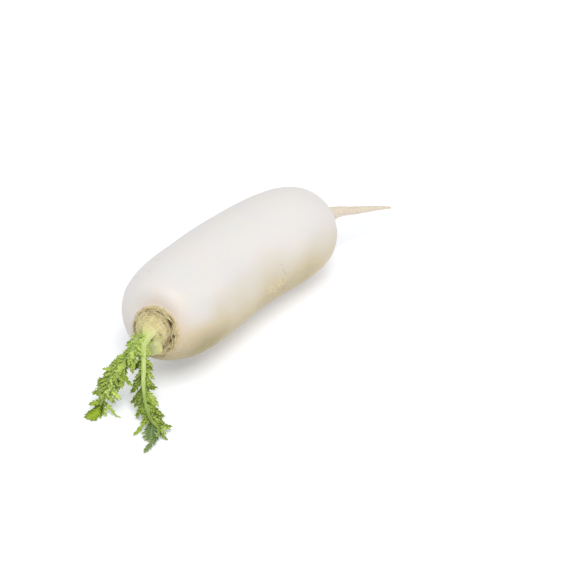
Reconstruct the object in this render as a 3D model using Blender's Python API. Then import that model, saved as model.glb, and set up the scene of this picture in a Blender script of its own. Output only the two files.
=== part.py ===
"""A white radish as lifted and laid on its side: one root with its crown and tail, and two leaves.

Lengths are in millimetres up to the last step, which turns them into metres. +Z is up and z = 0
is the surface that the radish lies on. The crown points to -X, the tail to +X, and the origin is
the middle of the small flat spot that the root rests on.
"""
import math
import random

import bmesh
import bpy
from mathutils import Matrix, Vector, noise

MM = 0.001
UP = Vector((0, 0, 1))

# The root's swollen body. Its place along the axis is t, from -1 at the crown to 1 at the tail,
# and its profile is a blunt power curve with its own powers in each half.
BODY_LENGTH = 206.5
BODY_RADIUS = 40.5
BODY_TAPER = 0.02
CROWN_POWERS = (5.8, 2.7)
TAIL_POWERS = (5.0, 2.0)
AROUND = 44
BODY_RINGS = 30

# The axis bends sideways from BEND_START on toward the crown, and rises a little there
BEND_DEG = 24.6
BEND_START = 0.5
CROWN_LIFT = 5.0
CROWN_LIFT_START = 0.2

# The shoulder is lopsided: the crown sits off the axis, aside and up, and the body swells on one
# side and is cut away under its chin
SHOULDER_SHIFT = (-15.4, 7.2)
SIDE_SWELL = 4.2
SWELL_MIDDLE = -0.4
SWELL_REACH = 0.5
CHIN_LIFT = 2.4
CHIN_START = 0.72
CHIN_REACH = 0.2

# The gentle unevenness of the skin
LUMP_HEIGHT = 0.5
LUMP_SIZE = 34.0
LUMP_FADE = 0.15

# The small flat spot under the belly, and how fast the skin clears the surface beyond it
FLAT_DEPTH = 1.1
FLAT_REACH = 0.26
FLAT_CLEARANCE = 6.0

# The crown: a lip of old leaf scars, a groove inside it, and the pale dome the leaves grow from.
# Each step is (radius, height above the collar, share of the tilt from collar to dome).
COLLAR_RADIUS = 18.1
COLLAR_TILT_DEG = 22.0
DOME_TILT_DEG = 40.0
CROWN_STEPS = (
    (17.4, 1.4, 0.05),
    (16.3, 2.0, 0.12),
    (15.2, 1.2, 0.22),
    (14.5, 1.7, 0.34),
    (14.2, 3.2, 0.50),
    (13.2, 5.2, 0.68),
    (11.4, 7.2, 0.84),
    (8.6, 8.7, 0.94),
    (5.4, 9.6, 1.00),
    (2.4, 10.0, 1.00),
)
SCAR_COUNT = 11
SCAR_DEPTH = 0.6
SHEATH_COUNT = 5
SHEATH_DEPTH = 0.9

# The tail root: it flares off the body, then tapers, droops and wanders a little
TAIL_START_RADIUS = 9.0
TAIL_LENGTH = 74.0
TAIL_RADIUS = 4.2
TAIL_TIP_RADIUS = 0.9
TAIL_TAPER_POWER = 1.8
FLARE_LENGTH = 8.0
TAIL_DROOP_DEG = 18.0
TAIL_TURN_DEG = -4.0
TAIL_WANDER = 0.8
TAIL_RINGS = 16

# A leaf's stalk: swollen at its foot, tapering to the tip, and flatter than it is wide
STALK_SIDES = 8
STALK_STATIONS = 41
STALK_RINGS = 21
STALK_FLATNESS = 0.8
STALK_TAPER_POWER = 0.7
FOOT_SWELLING = 0.35
FOOT_REACH = 0.06

# A leaflet: its teeth lie between these shares of its length, with a notch behind each
LEAFLET_THICKNESS = 0.7
LEAFLET_ACROSS = 3
SMALL_LEAFLET = 14.0
TEETH_START = 0.14
TEETH_SPAN = 0.74
NOTCH_BEHIND = 0.06
NOTCH_WIDTH = 0.60
FOOT_BELOW = 0.35
CURVE_PIECES = 24

# A web: a narrow strip of blade along one hand of a stalk, which joins the leaflets' feet. It leans
# forward, and every other station along it is notched. Its width and rise drift along the stalk.
WEB_STATIONS = 18
WEB_NOTCH = 0.6
WEB_FORWARD = 0.9
WEB_LEAST_END = 0.2
WEB_DRIFT = 0.13
WEB_WIDTHS = (0.85, 0.5)
WEB_RISE_SWING = 0.9
WEB_FADES = (9, 7)

# Where a leaf meets the surface it lies along it, no lower than GROUND_LEAST
GROUND_FROM = 3.0
GROUND_LEAST = 0.9

# The leaves. A stalk's corners are where its middle line runs, and its two faces are the way its
# upper side looks at its foot and at its tip. A row of leaflets runs along one hand of the stalk:
# (hand, count, first and last share of the stalk, lengths at the row's start, middle and end,
# half-width as a share of length, lean from the stalk at the row's start and end in degrees).
# A stand-out leaflet is (hand, share, length, half-width as a share of length, lean, rise, curl,
# twist in degrees). The rises are the least and the greatest that a row's leaflets are drawn from.
# A web is (hand, first and last share, width, least and greatest rise in degrees).
LEFT_LEAF = {
    "name": "leaf_left",
    "seed": 14,
    "stalk": (
        (-105.2, -33.6, 48.9),
        (-107.9, -34.3, 48.2),
        (-112.6, -36.4, 44.2),
        (-119.9, -38.4, 39.5),
        (-131.0, -37.0, 31.5),
        (-138.3, -37.4, 22.0),
        (-143.0, -38.2, 12.5),
        (-146.0, -38.2, 7.0),
    ),
    "faces": (Vector((-0.5, -0.6, 0.6)), Vector((-0.5, -0.35, 0.8))),
    "stalk_radii": (2.0, 0.9),
    "rises": (-26, 14),
    "rows": (
        (1, 15, 0.06, 0.93, (9.5, 11.5, 11.5), 0.23, 34, 42),
        (-1, 11, 0.14, 0.80, (15.0, 18.0, 12.0), 0.18, 42, 44),
    ),
    "stand_outs": (
        (-1, 0.49, 18.0, 0.16, 84, 8, 14, 10),
        (-1, 0.66, 16.5, 0.21, 50, 12, 14, 20),
        (-1, 0.93, 20.0, 0.13, 64, -6, 4, 30),
        (-1, 0.965, 14.0, 0.34, 26, -4, 10, 20),
        (0, 0.985, 25.5, 0.28, 0, 4, -6, 8),
    ),
    "webs": ((1, 0.06, 0.95, 6.8, -22, 26), (-1, 0.15, 0.95, 6.4, -14, 40)),
}
FRONT_LEAF = {
    "name": "leaf_front",
    "seed": 23,
    "stalk": (
        (-100.6, -41.0, 58.0),
        (-102.9, -42.0, 58.9),
        (-105.7, -42.5, 57.0),
        (-107.1, -42.3, 52.0),
        (-109.3, -43.5, 43.0),
        (-114.4, -49.7, 31.0),
        (-118.5, -54.3, 22.0),
        (-121.9, -60.1, 15.5),
        (-124.9, -67.6, 10.0),
        (-126.6, -76.1, 6.5),
        (-125.8, -83.5, 4.8),
        (-131.5, -87.8, 3.4),
    ),
    "faces": (Vector((-0.5, -0.6, 0.6)), Vector((-0.45, -0.3, 0.85))),
    "stalk_radii": (2.4, 0.9),
    "rises": (-36, -2),
    "rows": (
        (-1, 14, 0.18, 0.93, (8.5, 16.0, 10.5), 0.18, 20, 42),
        (1, 10, 0.22, 0.74, (14.0, 17.0, 11.0), 0.17, 22, 38),
    ),
    "stand_outs": (
        (1, 0.76, 21.0, 0.12, 56, -2, 4, 10),
        (1, 0.83, 17.5, 0.44, 44, 2, 4, -6),
        (1, 0.985, 18.0, 0.19, 10, 0, 4, 10),
    ),
    "webs": ((-1, 0.24, 0.95, 5.6, -52, -14), (1, 0.20, 0.88, 5.8, -56, -20)),
}

# Plain colours, each red, green, blue and roughness
COLOURS = {
    "radish_root": (0.87, 0.83, 0.75, 0.42),
    "leaf_left": (0.25, 0.43, 0.06, 0.55),
    "leaf_front": (0.22, 0.40, 0.06, 0.55),
}


def clear_scene():
    """Removes whatever the start-up file holds."""
    for thing in list(bpy.data.objects):
        bpy.data.objects.remove(thing, do_unlink=True)


def smooth_step(value):
    """0 to 1 with level ends."""
    value = min(1.0, max(0.0, value))
    return value * value * (3 - 2 * value)


def material_for(name):
    """A plain Principled material in the piece's own colour and roughness."""
    red, green, blue, roughness = COLOURS[name]
    made = bpy.data.materials.new(name + "_surface")
    made.use_nodes = True
    shader = made.node_tree.nodes["Principled BSDF"]
    shader.inputs["Base Color"].default_value = (red, green, blue, 1)
    shader.inputs["Roughness"].default_value = roughness
    shader.inputs["Metallic"].default_value = 0.0
    return made


def object_from(name, points, faces):
    """An object in metres from points in millimetres."""
    mesh = bpy.data.meshes.new(name)
    mesh.from_pydata([point * MM for point in points], [], faces)
    mesh.update()
    made = bpy.data.objects.new(name, mesh)
    bpy.context.scene.collection.objects.link(made)
    return made


def tube_from_rings(rings, start_tip=None, end_tip=None):
    """Joins rings of points into a skin, closing each end with a tip or with one flat face."""
    around = len(rings[0])
    points = [point for ring in rings for point in ring]
    faces = []
    for row in range(len(rings) - 1):
        low = row * around
        high = low + around
        for column in range(around):
            following = (column + 1) % around
            faces.append((low + column, low + following, high + following, high + column))
    last = (len(rings) - 1) * around
    if start_tip is None:
        faces.append(tuple(reversed(range(around))))
    else:
        tip = len(points)
        points.append(start_tip)
        faces += [(tip, (column + 1) % around, column) for column in range(around)]
    if end_tip is None:
        faces.append(tuple(last + column for column in range(around)))
    else:
        tip = len(points)
        points.append(end_tip)
        faces += [(tip, last + column, last + (column + 1) % around) for column in range(around)]
    return points, faces


def body_radius(t):
    """The body's radius at t."""
    power, root = CROWN_POWERS if t < 0 else TAIL_POWERS
    return BODY_RADIUS * (1 - abs(t) ** power) ** (1 / root) * (1 + BODY_TAPER * t)


def station_where(radius, toward):
    """The t at which the body narrows to a radius, on the crown's side (-1) or the tail's (1)."""
    near, far = 0.5, 1.0
    halvings = 40
    for _ in range(halvings):
        middle = (near + far) / 2
        if body_radius(toward * middle) > radius:
            near = middle
        else:
            far = middle
    return toward * near


def bent_axis(t):
    """The axis seen from above, straight toward the tail and an arc toward the crown."""
    half = BODY_LENGTH / 2
    arc_radius = half * (1 + BEND_START) / math.radians(BEND_DEG)
    turned = max(0.0, BEND_START - t) * half / arc_radius
    ahead = max(0.0, t - BEND_START) * half
    along = half * BEND_START + ahead - arc_radius * math.sin(turned)
    aside = -arc_radius * (1 - math.cos(turned))
    return Vector((along, aside, 0)), turned


def axis_at(t):
    """The axis's point and direction, with the middle of the body over the origin."""
    rise = max(0.0, -t - CROWN_LIFT_START) / (1 - CROWN_LIFT_START)
    height = BODY_RADIUS * (1 + BODY_TAPER * t) - FLAT_DEPTH + CROWN_LIFT * rise ** 2
    place, turned = bent_axis(t)
    middle, _ = bent_axis(0.0)
    direction = Vector((math.cos(turned), math.sin(turned), 0))
    return place - middle + UP * height, direction


def ring_points(centre, across, upright, radius, shape=None):
    """A ring about a centre, with a corner each side of its lowest point."""
    ring = []
    for step in range(AROUND):
        angle = math.tau * (step + 0.5) / AROUND - math.pi / 2
        reach = radius if shape is None else radius * shape(angle)
        ring.append(centre + across * (reach * math.cos(angle)) + upright * (reach * math.sin(angle)))
    return ring


def body_frame(t):
    """The centre and the two in-plane directions of the body's ring at t."""
    centre, direction = axis_at(t)
    across = UP.cross(direction).normalized()
    narrowed = 1 - body_radius(t) / BODY_RADIUS if t < 0 else 0.0
    centre += across * (SHOULDER_SHIFT[0] * narrowed) + UP * (SHOULDER_SHIFT[1] * narrowed)
    tilt = math.radians(COLLAR_TILT_DEG) * min(1.0, 2 * smooth_step(narrowed))
    upright = UP * math.cos(tilt) + direction * math.sin(tilt)
    return centre, across, upright


def shouldered(point, outward, across, t):
    """Swells one side of the body and lifts its chin, both fading out at the collar."""
    full = smooth_step(2 * (body_radius(t) - COLLAR_RADIUS) / BODY_RADIUS)
    swell = SIDE_SWELL * full * math.exp(-((t - SWELL_MIDDLE) / SWELL_REACH) ** 2)
    chin = CHIN_LIFT * full * smooth_step((-t - CHIN_START) / CHIN_REACH)
    point = point - across * (swell * max(0.0, -outward.dot(across)) ** 2)
    return point + UP * (chin * max(0.0, -outward.z) ** 2)


def lumped(point, outward, t):
    """The gentle unevenness of a grown root, fading out at its ends."""
    fade = smooth_step((1 - abs(t)) / LUMP_FADE)
    return point + outward * (LUMP_HEIGHT * fade * noise.noise(point / LUMP_SIZE))


def rested(point, t):
    """Flattens the belly where the root lies on its spot, and clears the surface beyond it."""
    lift = FLAT_CLEARANCE * max(0.0, abs(t) - FLAT_REACH) ** 2
    point.z = max(point.z, lift)
    return point


def body_rings():
    """The swollen body, from the collar to where the tail begins."""
    first = station_where(COLLAR_RADIUS, -1)
    last = station_where(TAIL_START_RADIUS, 1)
    rings = []
    for number in range(BODY_RINGS):
        share = 0.5 - 0.5 * math.cos(math.pi * number / (BODY_RINGS - 1))
        t = first + (last - first) * share
        centre, across, upright = body_frame(t)
        ring = []
        for point in ring_points(centre, across, upright, body_radius(t)):
            outward = (point - centre).normalized()
            point = shouldered(point, outward, across, t)
            ring.append(rested(lumped(point, outward, t), t))
        rings.append(ring)
    return rings


def crown_frame():
    """The collar's centre, its in-plane directions and the way it faces."""
    centre, across, upright = body_frame(station_where(COLLAR_RADIUS, -1))
    facing = upright.cross(across).normalized()
    return centre, across, upright, facing


def crown_relief(number, radius):
    """How a crown ring's radius changes round it: ragged scars on the lip, stepped sheaths above."""
    scarred = math.exp(-((number - 1.0) / 1.4) ** 2)
    sheathed = smooth_step((number - 3) / 2.0) * smooth_step((9 - number) / 3.0)

    def shape(angle):
        scars = math.sin(SCAR_COUNT * angle + 1.3 * number) + 0.5 * math.sin(7 * angle + 2.1 * number)
        sheaths = (SHEATH_COUNT * angle / math.tau + 0.06 * number) % 1.0 - 0.5
        return 1 + (SCAR_DEPTH * scarred * scars + SHEATH_DEPTH * sheathed * sheaths) / radius

    return shape


def crown_rings():
    """The scar lip, the groove and the dome, from the dome's top back to the collar."""
    centre, across, upright, facing = crown_frame()
    extra = DOME_TILT_DEG - COLLAR_TILT_DEG
    rings = []
    risen = 0.0
    for number, (radius, height, share) in enumerate(CROWN_STEPS):
        turn = Matrix.Rotation(math.radians(-extra * share), 3, across)
        centre = centre + (turn @ facing) * (height - risen)
        risen = height
        rings.append(ring_points(centre, across, turn @ upright, radius, crown_relief(number, radius)))
    top = centre + (turn @ facing) * 0.1
    rings.reverse()
    return rings, top


def tail_rings():
    """The tail root, from the body to its thin tip."""
    t = station_where(TAIL_START_RADIUS, 1)
    centre, across, upright = body_frame(t)
    _, along = axis_at(t)
    rings = []
    for number in range(1, TAIL_RINGS + 1):
        share = number / TAIL_RINGS
        settled = smooth_step(share * 3)
        droop = Matrix.Rotation(math.radians(TAIL_DROOP_DEG * settled), 3, "Y")
        turn = Matrix.Rotation(math.radians(TAIL_TURN_DEG * settled), 3, "Z")
        heading = turn @ droop @ along
        centre = centre + heading * (TAIL_LENGTH / TAIL_RINGS)
        taper = TAIL_RADIUS + (TAIL_TIP_RADIUS - TAIL_RADIUS) * share ** TAIL_TAPER_POWER
        flare = (TAIL_START_RADIUS - TAIL_RADIUS) * math.exp(-((share * TAIL_LENGTH / FLARE_LENGTH) ** 1.2))
        wander = TAIL_WANDER * noise.noise(Vector((share * 4, 3.7, 0)))
        rings.append(ring_points(centre + UP * wander, across, turn @ droop @ upright, taper + flare))
    return rings, centre + heading * TAIL_TIP_RADIUS


def make_root():
    """Crown, body and tail in one closed skin."""
    crown, top = crown_rings()
    tail, tip = tail_rings()
    points, faces = tube_from_rings(crown + body_rings() + tail, start_tip=top, end_tip=tip)
    root = object_from("radish_root", points, faces)
    root.data.shade_smooth()
    return root


def curve_through(corners):
    """A smooth curve through the corners, as many short pieces."""
    corners = [Vector(corner) for corner in corners]
    ends = [corners[0] * 2 - corners[1]] + corners + [corners[-1] * 2 - corners[-2]]
    fine = []
    for number in range(1, len(ends) - 2):
        before, start, stop, after = ends[number - 1:number + 3]
        for piece in range(CURVE_PIECES):
            s = piece / CURVE_PIECES
            slope = (stop - before) * s
            bend = (2 * before - 5 * start + 4 * stop - after) * s ** 2
            swing = (3 * start - before - 3 * stop + after) * s ** 3
            fine.append(start + 0.5 * (slope + bend + swing))
    fine.append(corners[-1])
    return fine


def even_path(corners, count):
    """Evenly spaced points on the smooth curve through the corners."""
    fine = curve_through(corners)
    lengths = [0.0]
    for start, stop in zip(fine, fine[1:]):
        lengths.append(lengths[-1] + (stop - start).length)
    path = []
    place = 0
    for number in range(count):
        wanted = lengths[-1] * number / (count - 1)
        while place < len(fine) - 2 and lengths[place + 1] < wanted:
            place += 1
        share = (wanted - lengths[place]) / (lengths[place + 1] - lengths[place])
        path.append(fine[place].lerp(fine[place + 1], min(1.0, share)))
    return path, lengths[-1]


class Stalk:
    """A leaf's stalk: a smooth path with a radius and an upper face at each share of its length."""

    def __init__(self, leaf):
        self.path, self.length = even_path(leaf["stalk"], STALK_STATIONS)
        self.faces = leaf["faces"]
        self.radii = leaf["stalk_radii"]

    def at(self, share):
        """The place, the direction and the upper face at a share of the length."""
        spot = min(max(share, 0.0), 1.0) * (STALK_STATIONS - 1)
        number = min(int(spot), STALK_STATIONS - 2)
        place = self.path[number].lerp(self.path[number + 1], spot - number)
        low = max(0, number - 1)
        high = min(STALK_STATIONS - 1, number + 2)
        heading = (self.path[high] - self.path[low]).normalized()
        face = self.faces[0].lerp(self.faces[1], share)
        face = (face - heading * face.dot(heading)).normalized()
        return place, heading, face

    def radius(self, share):
        """The half-width at a share of the length."""
        thick, thin = self.radii
        swelling = FOOT_SWELLING * thick * math.exp(-((share / FOOT_REACH) ** 2))
        return thick + (thin - thick) * share ** STALK_TAPER_POWER + swelling

    def low_place(self, share):
        """A place a little below the stalk's middle line, where blades are rooted."""
        place, _, face = self.at(share)
        return place - face * (FOOT_BELOW * self.radius(share))


def stalk_object(leaf, stalk):
    """The stalk as a tapering tube."""
    rings = []
    for number in range(STALK_RINGS):
        share = number / (STALK_RINGS - 1)
        place, heading, face = stalk.at(share)
        side = heading.cross(face)
        wide = stalk.radius(share)
        deep = wide * STALK_FLATNESS
        ring = []
        for step in range(STALK_SIDES):
            angle = -math.tau * (step + 0.5) / STALK_SIDES
            ring.append(place + side * (wide * math.cos(angle)) + face * (deep * math.sin(angle)))
        rings.append(ring)
    points, faces = tube_from_rings(rings)
    return object_from(leaf["name"], points, faces)


def lobe_width(share):
    """The half-width of a smooth lobe, widest past its middle."""
    return math.sin(math.pi * min(1.0, 0.16 + 0.80 * share)) ** 0.7


def leaflet_outline(teeth):
    """Shares of the length with the half-width there: forward-pointing teeth on a lobe."""
    outline = [(0.0, 0.42), (0.10, 0.52)]
    for tooth in range(teeth):
        point = TEETH_START + TEETH_SPAN * (tooth + 0.8) / teeth
        notch = point + NOTCH_BEHIND
        outline.append((point, lobe_width(point)))
        outline.append((notch, NOTCH_WIDTH * lobe_width(notch)))
    outline.append((1.0, 0.05))
    return outline


def leaflet_turn(share, draw):
    """How the leaflet's frame has turned by a share of its length."""
    swept = Matrix.Rotation(draw["sweep"] * share, 3, "Z")
    curled = Matrix.Rotation(draw["curl"] * share, 3, "Y")
    twisted = Matrix.Rotation(draw["twist"] * share, 3, "X")
    return swept @ curled @ twisted


def leaflet_midrib(draw):
    """The midrib's places at even shares of the length, in the leaflet's own frame."""
    places = [Vector((0, 0, 0))]
    for piece in range(CURVE_PIECES):
        heading = leaflet_turn((piece + 0.5) / CURVE_PIECES, draw) @ Vector((1, 0, 0))
        places.append(places[-1] + heading * (draw["length"] / CURVE_PIECES))
    return places


def leaflet_frame(stalk, draw):
    """Places a leaflet on its stalk: out to its side, leaning toward the leaf's tip."""
    _, heading, face = stalk.at(draw["share"])
    outward = heading.cross(face) * draw["hand"]
    along = heading * math.cos(draw["lean"]) + outward * math.sin(draw["lean"])
    along = (along * math.cos(draw["rise"]) + face * math.sin(draw["rise"])).normalized()
    normal = (face - along * face.dot(along)).normalized()
    across = normal.cross(along)
    return stalk.low_place(draw["share"]), Matrix((along, across, normal)).transposed()


def kept_above_ground(point):
    """Lays along the surface what would hang below it."""
    if point.z < GROUND_FROM:
        depth = GROUND_FROM - GROUND_LEAST
        point.z = GROUND_LEAST + depth * math.exp((point.z - GROUND_FROM) / depth)
    return point


def leaflet_sheet(stalk, draw, outline):
    """The leaflet's middle surface as rows of points: folded along its midrib, its edges waved."""
    places = leaflet_midrib(draw)
    foot, turned = leaflet_frame(stalk, draw)
    rows = []
    for share, width in outline:
        spot = share * (len(places) - 1)
        number = min(int(spot), len(places) - 2)
        middle = places[number].lerp(places[number + 1], spot - number)
        turn = leaflet_turn(share, draw)
        half = draw["width"] * width
        row = []
        for column in range(LEAFLET_ACROSS):
            v = 2 * column / (LEAFLET_ACROSS - 1) - 1
            swing = math.sin(draw["waves"] * math.tau * share + draw["phase"] * (1 + v))
            wave = draw["wave"] * abs(v) ** 1.5 * swing * smooth_step(share * 3)
            lift = draw["fold"] * abs(v) * half + wave
            point = middle + turn @ Vector((0, v * half, lift))
            row.append(kept_above_ground(foot + turned @ point))
        rows.append(row)
    return rows


def sheet_normals(rows):
    """The way each point of a sheet faces."""
    normals = []
    last_row = len(rows) - 1
    last_column = len(rows[0]) - 1
    for row in range(last_row + 1):
        for column in range(last_column + 1):
            ahead = rows[min(row + 1, last_row)][column] - rows[max(row - 1, 0)][column]
            aside = rows[row][min(column + 1, last_column)] - rows[row][max(column - 1, 0)]
            normals.append(ahead.cross(aside).normalized())
    return normals


def leaflet_faces(rows, across):
    """Both faces split into triangles alike, and a rim between them."""
    faces = []
    under = rows * across
    for row in range(rows - 1):
        for column in range(across - 1):
            a = row * across + column
            b, c, d = a + 1, a + across + 1, a + across
            faces += [(a, c, b), (a, d, c)]
            faces += [(under + a, under + b, under + c), (under + a, under + c, under + d)]
    rim = list(range(across))
    rim += [row * across + across - 1 for row in range(1, rows)]
    rim += [(rows - 1) * across + column for column in reversed(range(across - 1))]
    rim += [row * across for row in reversed(range(1, rows - 1))]
    for start, stop in zip(rim, rim[1:] + rim[:1]):
        faces += [(start, stop, under + stop), (start, under + stop, under + start)]
    return faces


def leaflet_draws(leaf):
    """Where each leaflet sits and how it is shaped, by a rule with seeded draws."""
    rng = random.Random(leaf["seed"])
    draws = []
    for hand, count, first, last, lengths, width, lean_first, lean_last in leaf["rows"]:
        start, middle, end = lengths
        for number in range(count):
            rank = number / (count - 1)
            length = start + (end - start) * rank + (middle - (start + end) / 2) * math.sin(math.pi * rank)
            length *= rng.uniform(0.85, 1.15)
            draws.append({
                "hand": hand,
                "share": first + (last - first) * rank + rng.uniform(-0.015, 0.015),
                "length": length,
                "width": length * width * rng.uniform(0.9, 1.15),
                "lean": math.radians(lean_first + (lean_last - lean_first) * rank + rng.uniform(-9, 9)),
                "rise": math.radians(rng.uniform(*leaf["rises"])),
                "curl": math.radians(rng.uniform(-12, 38)),
                "sweep": math.radians(rng.uniform(-25, 10)) * hand,
                "twist": math.radians(rng.uniform(-34, 34)),
                "fold": rng.uniform(0.15, 0.70),
                "wave": rng.uniform(0.5, 1.0),
                "waves": rng.uniform(1.2, 2.0),
                "phase": rng.uniform(0.4, 2.4),
            })
    for hand, share, length, width, lean, rise, curl, twist in leaf["stand_outs"]:
        draws.append({
            "hand": hand,
            "share": share,
            "length": length,
            "width": length * width,
            "lean": math.radians(lean),
            "rise": math.radians(rise),
            "curl": math.radians(curl),
            "sweep": 0.0,
            "twist": math.radians(twist),
            "fold": 0.22,
            "wave": 0.6,
            "waves": 1.6,
            "phase": rng.uniform(0.4, 2.4),
        })
    return draws


def web_sheet(leaf, stalk, web):
    """A web's middle surface as rows of two points, from inside the stalk to its toothed edge."""
    hand, first, last, width, low_rise, high_rise = web
    rows = []
    for number in range(WEB_STATIONS):
        rank = number / (WEB_STATIONS - 1)
        share = first + (last - first) * rank
        _, heading, face = stalk.at(share)
        slow = noise.noise(Vector((share * stalk.length * WEB_DRIFT, leaf["seed"] + 5 * hand, 0.0)))
        ends = smooth_step(rank * WEB_FADES[0]) * smooth_step((1 - rank) * WEB_FADES[1])
        wide = width * max(WEB_LEAST_END, ends) * (WEB_WIDTHS[0] + WEB_WIDTHS[1] * slow)
        wide *= 1.0 if number % 2 else WEB_NOTCH
        rise = math.radians(low_rise + (high_rise - low_rise) * (0.5 + WEB_RISE_SWING * slow))
        aside = heading.cross(face) * (hand * math.cos(rise)) + face * math.sin(rise)
        foot = stalk.low_place(share)
        edge = foot + (aside + heading * WEB_FORWARD) * wide
        rows.append([kept_above_ground(foot), kept_above_ground(edge)])
    return rows


def thin_solid(name, rows):
    """A closed thin solid about a sheet's middle surface."""
    middle = [point for row in rows for point in row]
    normals = sheet_normals(rows)
    half = LEAFLET_THICKNESS / 2
    upper = [point + normal * half for point, normal in zip(middle, normals)]
    lower = [point - normal * half for point, normal in zip(middle, normals)]
    return object_from(name, upper + lower, leaflet_faces(len(rows), len(rows[0])))


def make_leaflet(stalk, draw, number):
    """One toothed leaflet as a closed thin solid."""
    outline = leaflet_outline(2 if draw["length"] < SMALL_LEAFLET else 3)
    return thin_solid("leaflet_%02d" % number, leaflet_sheet(stalk, draw, outline))


def fuse(body, pieces):
    """Joins the pieces to the body with one union, then removes them.

    The exact solver leaves edges that more than two faces share here, and the manifold one doesn't.
    """
    group = bpy.data.collections.new(body.name + "_pieces")
    bpy.context.scene.collection.children.link(group)
    for piece in pieces:
        bpy.context.scene.collection.objects.unlink(piece)
        group.objects.link(piece)
    union = body.modifiers.new("join", "BOOLEAN")
    union.operation = "UNION"
    union.operand_type = "COLLECTION"
    union.collection = group
    union.solver = "MANIFOLD"
    bpy.context.view_layer.update()
    depsgraph = bpy.context.evaluated_depsgraph_get()
    joined = bpy.data.meshes.new_from_object(body.evaluated_get(depsgraph))
    body.modifiers.clear()
    body.data = joined
    for piece in pieces:
        bpy.data.objects.remove(piece, do_unlink=True)
    bpy.data.collections.remove(group)


def islands_of(shape):
    """The separate skins of a bmesh, each as a list of its points."""
    left = set(shape.verts)
    found = []
    while left:
        island = []
        waiting = [left.pop()]
        while waiting:
            point = waiting.pop()
            island.append(point)
            for edge in point.link_edges:
                other = edge.other_vert(point)
                if other in left:
                    left.remove(other)
                    waiting.append(other)
        found.append(island)
    return found


def keep_outer_skin(body):
    """Fills the hollows that fusing sealed and drops loose scraps: only the largest skin stays."""
    shape = bmesh.new()
    shape.from_mesh(body.data)
    islands = sorted(islands_of(shape), key=len)
    extra = [point for island in islands[:-1] for point in island]
    bmesh.ops.delete(shape, geom=extra, context="VERTS")
    shape.to_mesh(body.data)
    shape.free()


def make_leaf(leaf):
    """A leaf: its stalk with webs and toothed leaflets along both hands, in one solid."""
    stalk = Stalk(leaf)
    body = stalk_object(leaf, stalk)
    pieces = []
    for number, draw in enumerate(leaflet_draws(leaf)):
        pieces.append(make_leaflet(stalk, draw, number))
    for number, web in enumerate(leaf["webs"]):
        pieces.append(thin_solid("web_%d" % number, web_sheet(leaf, stalk, web)))
    fuse(body, pieces)
    keep_outer_skin(body)
    return body


def main():
    clear_scene()
    for piece in (make_root(), make_leaf(LEFT_LEAF), make_leaf(FRONT_LEAF)):
        piece.data.materials.clear()
        piece.data.materials.append(material_for(piece.name))
        print(piece.name, len(piece.data.polygons), "faces")


main()
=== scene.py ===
# %% [markdown]
# # A white radish laid on its side
#
# This lesson dresses one root vegetable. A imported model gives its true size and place: a root, and
# two small leaves. Every step below either makes a finer skin for one of those solids or gives it a
# finish. Lengths are in millimetres until an object is made, and Blender then gets metres.

# %% The frame that everything is built around
import math
import random

import bpy
from mathutils import Matrix, Vector, noise


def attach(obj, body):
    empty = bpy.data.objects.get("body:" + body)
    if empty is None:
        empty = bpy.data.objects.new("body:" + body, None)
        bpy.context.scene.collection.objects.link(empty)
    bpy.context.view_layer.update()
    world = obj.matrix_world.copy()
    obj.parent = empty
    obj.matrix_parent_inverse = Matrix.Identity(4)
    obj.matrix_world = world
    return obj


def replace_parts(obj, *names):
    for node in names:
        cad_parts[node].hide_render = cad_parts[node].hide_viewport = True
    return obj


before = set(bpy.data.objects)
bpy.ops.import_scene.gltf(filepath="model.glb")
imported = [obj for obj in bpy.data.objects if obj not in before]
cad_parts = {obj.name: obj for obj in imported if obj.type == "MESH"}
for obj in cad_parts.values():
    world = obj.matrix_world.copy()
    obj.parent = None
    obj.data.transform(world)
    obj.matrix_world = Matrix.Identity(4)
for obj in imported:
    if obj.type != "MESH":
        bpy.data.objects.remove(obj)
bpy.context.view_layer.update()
MM = 0.001
UP = Vector((0, 0, 1))
print("solids:", sorted(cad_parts))

# %% [markdown]
# ## The camera
#
# A long lens from about a metre away keeps the root from looking stretched, as in a shop photo. The
# camera's place is worked out from the point it looks at, a distance and two angles. That is easier
# to tune than three coordinates and three turns, and it can't drift off the subject.

# %% The camera
LOOKS_AT = Vector((52.8, -0.1, 0.0))
CAMERA_DISTANCE = 1087.0
CAMERA_AZIMUTH = math.radians(-38.95)
CAMERA_ELEVATION = math.radians(38.0)
LENS = 85.0
SENSOR = 36.0


def toward_camera():
    """The direction from the subject to the camera."""
    level = math.cos(CAMERA_ELEVATION)
    back = Vector((math.sin(CAMERA_AZIMUTH) * level, -math.cos(CAMERA_AZIMUTH) * level, 0))
    return back + UP * math.sin(CAMERA_ELEVATION)


camera = bpy.data.objects.new("camera", bpy.data.cameras.new("camera"))
bpy.context.scene.collection.objects.link(camera)
camera.data.lens = LENS
camera.data.sensor_width = SENSOR
camera.location = (LOOKS_AT + toward_camera() * CAMERA_DISTANCE) * MM
camera.rotation_euler = (-toward_camera()).to_track_quat("-Z", "Y").to_euler()
bpy.context.scene.camera = camera
print("camera is", round(camera.location.length, 3), "m from the root's resting spot")

# %% [markdown]
# ## Soft studio light
#
# White things on white are lit by a bright, even surround, with one large lamp to give the body its
# roundness. The surround is the world's own light. The lamp is a wide rectangle, so the shadows
# under the root have no edge. The colours are shown as they are, without a film curve, because a
# film curve would turn the whites grey.

# %% The lights
SURROUND_STRENGTH = 0.60
KEY_POWER = 33.0
KEY_SIZE = 1.5
KEY_DISTANCE = 2400.0
KEY_DIRECTION = Vector((-0.12, -0.34, 1.0)).normalized()

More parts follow.
